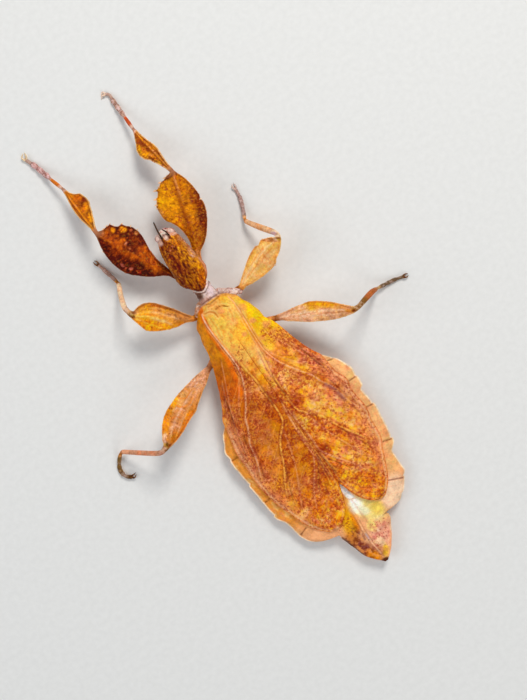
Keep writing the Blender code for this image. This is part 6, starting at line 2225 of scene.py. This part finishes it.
for side, sign in (("left", -1), ("right", 1)):
    g, over, off, near = tegmen_grid(sign)
    tint, marks, high = back_colours(g, None)
    yy = g[..., 1]
    # pinkish outer field, pale line just inside the rim, dark rim at the apex
    lay(tint, tone(226, 148, 104), 0.5 * ramp(off, 3.2, 0.6)
        * ramp(yy, -20, -26) * ramp(yy, -50, -44))
    lay(tint, tone(246, 184, 136), 0.7 * bell(off - 0.55, 0.22)
        * ramp(yy, -22, -26))
    lay(tint, tone(214, 110, 50), 0.5 * ramp(off, 0.35, 0.1)
        * ramp(yy, -14, -20))
    uv = picture(g)
    d, along, _ = line_distance(uv, [(371, 501.5), (378, 499), (385, 491)])
    lay(tint, MAROON, 0.5 * bell(d, 0.8))
    # seam: fine dark edge
    lay(tint, RED_BROWN, 0.75 * ramp(near, 0.22, 0.06) * ramp(yy, -9, -12))
    lay(tint, tone(244, 190, 120), 0.30 * bell(near - 0.6, 0.22)
        * ramp(yy, -24, -30))
    under = ramp(over, 0, -1)
    lay(tint, tone(222, 146, 86), 0.55 * under)
    marks[..., 0] *= 1 - 0.5 * under
    nrm = normals_of(g)
    high = high * np.where(over > 0, 1.0, -0.6)
    high = high * ramp(np.minimum(off, near), 0.0, 0.35)
    g = g + nrm * high[..., None]
    wing = Shell()
    wing.add(g, tint, marks)
    wing.build("tegmen_plate_" + side, wing_mat, "tegmen", "tegmen_" + side)

# ------------------------------------------------------------ eyes
for side, c in EYES.items():
    n, m = 40, 56
    lat = np.linspace(0.02, np.pi - 0.02, n)
    lon = 2 * np.pi * np.arange(m) / m
    la, lo = np.meshgrid(lat, lon, indexing="ij")
    g = np.stack([np.sin(la) * np.cos(lo), np.cos(la),
                  np.sin(la) * np.sin(lo)], -1) * EYE_RADIUS + np.array(c)
    nrm = (g - np.array(c)) / EYE_RADIUS
    out = -1 if side == "left" else 1
    tint = np.empty(g.shape)
    tint[:] = tone(222, 186, 174)
    # fine rows of facets, faint stripes and a darker spot looking outward
    stripe = np.sin(nrm[..., 1] * 13 + 1.2 * clouds(g, .5, 82))
    lay(tint, tone(170, 118, 116), 0.42 * ramp(stripe, 0.1, 0.9))
    lay(tint, tone(196, 146, 130), 0.5 * ramp(clouds(g, .30, 81), .05, .45))
    gaze = np.linalg.norm(nrm - unit(np.array([out * .80, .42, .40])),
                          axis=-1)
    lay(tint, tone(92, 50, 50), 0.80 * bell(gaze, 0.30))
    lay(tint, tone(150, 100, 96), 0.5 * bell(gaze, 0.62))
    # painted highlight: the top of each eye is lighter
    lay(tint, tone(240, 214, 202), 0.35 * ramp(nrm[..., 2], 0.4, 0.95))
    marks = np.zeros(g.shape)
    marks[..., 1] = 0.8
    eye = Shell()
    eye.add(g, tint, marks)
    eye.build("eye_ball_" + side, eye_mat, "eye", "eye_" + side)

# ------------------------------------------------------------ antennae
for side, path in ANTENNAE.items():
    fine_path = curve_points(path, 0.05)
    run = np.concatenate([[0], np.cumsum(np.linalg.norm(
        np.diff(fine_path, axis=0), axis=1))])
    share = run / run[-1]
    joints = [0, .22, .36, .45, .53, .61, .69, .77, .86, 1.0]
    radii = []
    for t in share:
        k = min(np.searchsorted(joints, t, side="right") - 1, 8)
        u = (t - joints[k]) / (joints[k + 1] - joints[k])
        r = 0.24 if k == 0 else 0.190 - 0.006 * k
        if side == "right":
            r *= 0.85
        radii.append(r * (0.78 + 0.26 * math.sin(math.pi * u) ** 0.6)
                     * (1 - 0.75 * ramp(t, 0.93, 1.0)))
    rows = np.column_stack([fine_path, radii])
    pos, r = rows[:, :3], rows[:, 3]
    along = np.gradient(pos, axis=0)
    along /= np.linalg.norm(along, axis=1, keepdims=True)
    sd = np.cross(along, np.array([1.0, 0, 0]))
    sd /= np.linalg.norm(sd, axis=1, keepdims=True)
    ud = np.cross(sd, along)
    ang = 2 * np.pi * np.arange(16) / 16
    g = pos[:, None] + (sd[:, None] * np.cos(ang)[None, :, None]
                        + ud[:, None] * np.sin(ang)[None, :, None]) * r[
                            :, None, None]
    tint = np.empty(g.shape)
    tint[:] = tone(36, 16, 14)
    sh = np.broadcast_to(share[:, None], g.shape[:2])
    lay(tint, tone(120, 78, 60), 0.7 * ramp(sh, 0.22, 0.05))
    for k in joints[1:-1]:
        lay(tint, tone(126, 84, 66), 0.6 * bell(sh - k, 0.010))
    marks = np.zeros(g.shape)
    marks[..., 1] = 0.2
    feeler = Shell()
    feeler.add(g, tint, marks)
    feeler.build("feeler_" + side, feeler_mat, "antenna", "antenna_" + side)

# ------------------------------------------------------------ claws
for leg, (bend, tip) in CLAWS.items():
    end = np.array(TARSI[leg][-1][:3])
    before = np.array(TARSI[leg][-2][:3])
    bend, tip = np.array(bend), np.array(tip)
    way = unit(bend)
    side = unit(np.array([-way[1], way[0], 0]))
    pale = leg in ("leg_front_left", "leg_front_right", "leg_middle_right")
    tone_c = tone(218, 196, 158) if pale else tone(74, 40, 26)
    tone_p = tone(190, 150, 124) if pale else tone(120, 80, 60)
    if leg == "leg_middle_right":
        tone_c, tone_p = tone(196, 176, 170), tone(170, 140, 134)
    if leg == "leg_front_right":
        tone_c, tone_p = tone(226, 204, 190), tone(226, 204, 140)
    wide = 1.45 if leg == "leg_front_left" else 1.0
    claws = Shell()
    for sg in (-1, 1):
        path = [end - way * .18 + side * sg * .05 + np.array([0, 0, .02]),
                end + bend * .4 + side * sg * .27 * wide
                + np.array([0, 0, .14]),
                end + bend + side * sg * .32 * wide + np.array([0, 0, .06]),
                end + tip + side * sg * .16 - np.array([0, 0, .16])]
        add_tube(claws, path, [.18, .19, .17, .14, .09, .03], tone_c,
                 marks=(0.05, 0.1, 0.5), sides=12, step=0.05)
    pad = 0.7 / wide
    add_tube(claws, [end - way * .15, end + bend * .45 * pad,
                     end + bend * .9 * pad],
             [.20, .26 / wide, .24 / wide, .10], tone_p,
             marks=(0.1, 0.1, 0.3), sides=16, step=0.05, flat=0.7)
    claws.build("claws_" + leg[4:], claw_mat, "tarsus")

# ------------------------------------------------------------ floor
floor_mesh = bpy.data.meshes.new("floor")
fb = bmesh.new()
bmesh.ops.create_grid(fb, x_segments=24, y_segments=24, size=1.2)
fb.to_mesh(floor_mesh)
fb.free()
floor = bpy.data.objects.new("floor", floor_mesh)
bpy.context.scene.collection.objects.link(floor)
floor.location = (0, 0, -0.00002)
paper = bpy.data.materials.new("pale_floor")
paper.use_nodes = True
pn = paper.node_tree
pb = pn.nodes["Principled BSDF"]
pc = pn.nodes.new("ShaderNodeTexCoord")
pt = pn.nodes.new("ShaderNodeTexNoise")
pt.inputs["Scale"].default_value = 900
pt.inputs["Detail"].default_value = 4
pn.links.new(pc.outputs["Object"], pt.inputs["Vector"])
pr = pn.nodes.new("ShaderNodeValToRGB")
pr.color_ramp.elements[0].position = 0.3
pr.color_ramp.elements[0].color = (0.77, 0.77, 0.76, 1)
pr.color_ramp.elements[1].position = 0.7
pr.color_ramp.elements[1].color = (0.81, 0.81, 0.80, 1)
pn.links.new(pt.outputs[0], pr.inputs[0])
pn.links.new(pr.outputs[0], pb.inputs["Base Color"])
pb.inputs["Roughness"].default_value = 0.8
floor_mesh.materials.append(paper)

# ------------------------------------------------------------ light, camera
world = bpy.context.scene.world or bpy.data.worlds.new("studio")
bpy.context.scene.world = world
world.use_nodes = True
sky = world.node_tree.nodes.get("Background")
sky.inputs[0].default_value = (0.92, 0.96, 1.0, 1)
sky.inputs[1].default_value = 0.36


def area_light(name, at, to, size, power, colour):
    data = bpy.data.lights.new(name, "AREA")
    data.shape = "DISK"
    data.size = size
    data.energy = power
    data.color = colour
    lamp = bpy.data.objects.new(name, data)
    bpy.context.scene.collection.objects.link(lamp)
    lamp.location = at
    lamp.rotation_euler = (Vector(to) - Vector(at)).to_track_quat(
        "-Z", "Y").to_euler()


area_light("key_light", (0.24, 0.20, 0.36), (0, 0, 0.004), 0.16, 1.25,
           (1.0, 0.97, 0.92))
area_light("fill_light", (-0.30, 0.10, 0.30), (0, 0, 0.004), 0.30, 0.42,
           (0.94, 0.97, 1.0))
area_light("rear_light", (0.02, -0.34, 0.26), (0, -0.01, 0.004), 0.22, 0.32,
           (1.0, 0.98, 0.95))

cam_data = bpy.data.cameras.new("camera")
cam_data.sensor_fit = "AUTO"
cam_data.sensor_width = 36.0
cam_data.lens = FOCAL / 700 * 36.0
cam_data.clip_start = 0.005
cam_data.clip_end = 20
cam = bpy.data.objects.new("camera", cam_data)
bpy.context.scene.collection.objects.link(cam)
place = (cam_at + SHIFT) * MM
turn = Matrix((cam_right, cam_up, cam_back)).transposed().to_4x4()
cam.matrix_world = Matrix.Translation(Vector(place)) @ turn
bpy.context.scene.camera = cam
bpy.context.scene.view_settings.view_transform = "Standard"
bpy.context.scene.view_settings.look = "None"
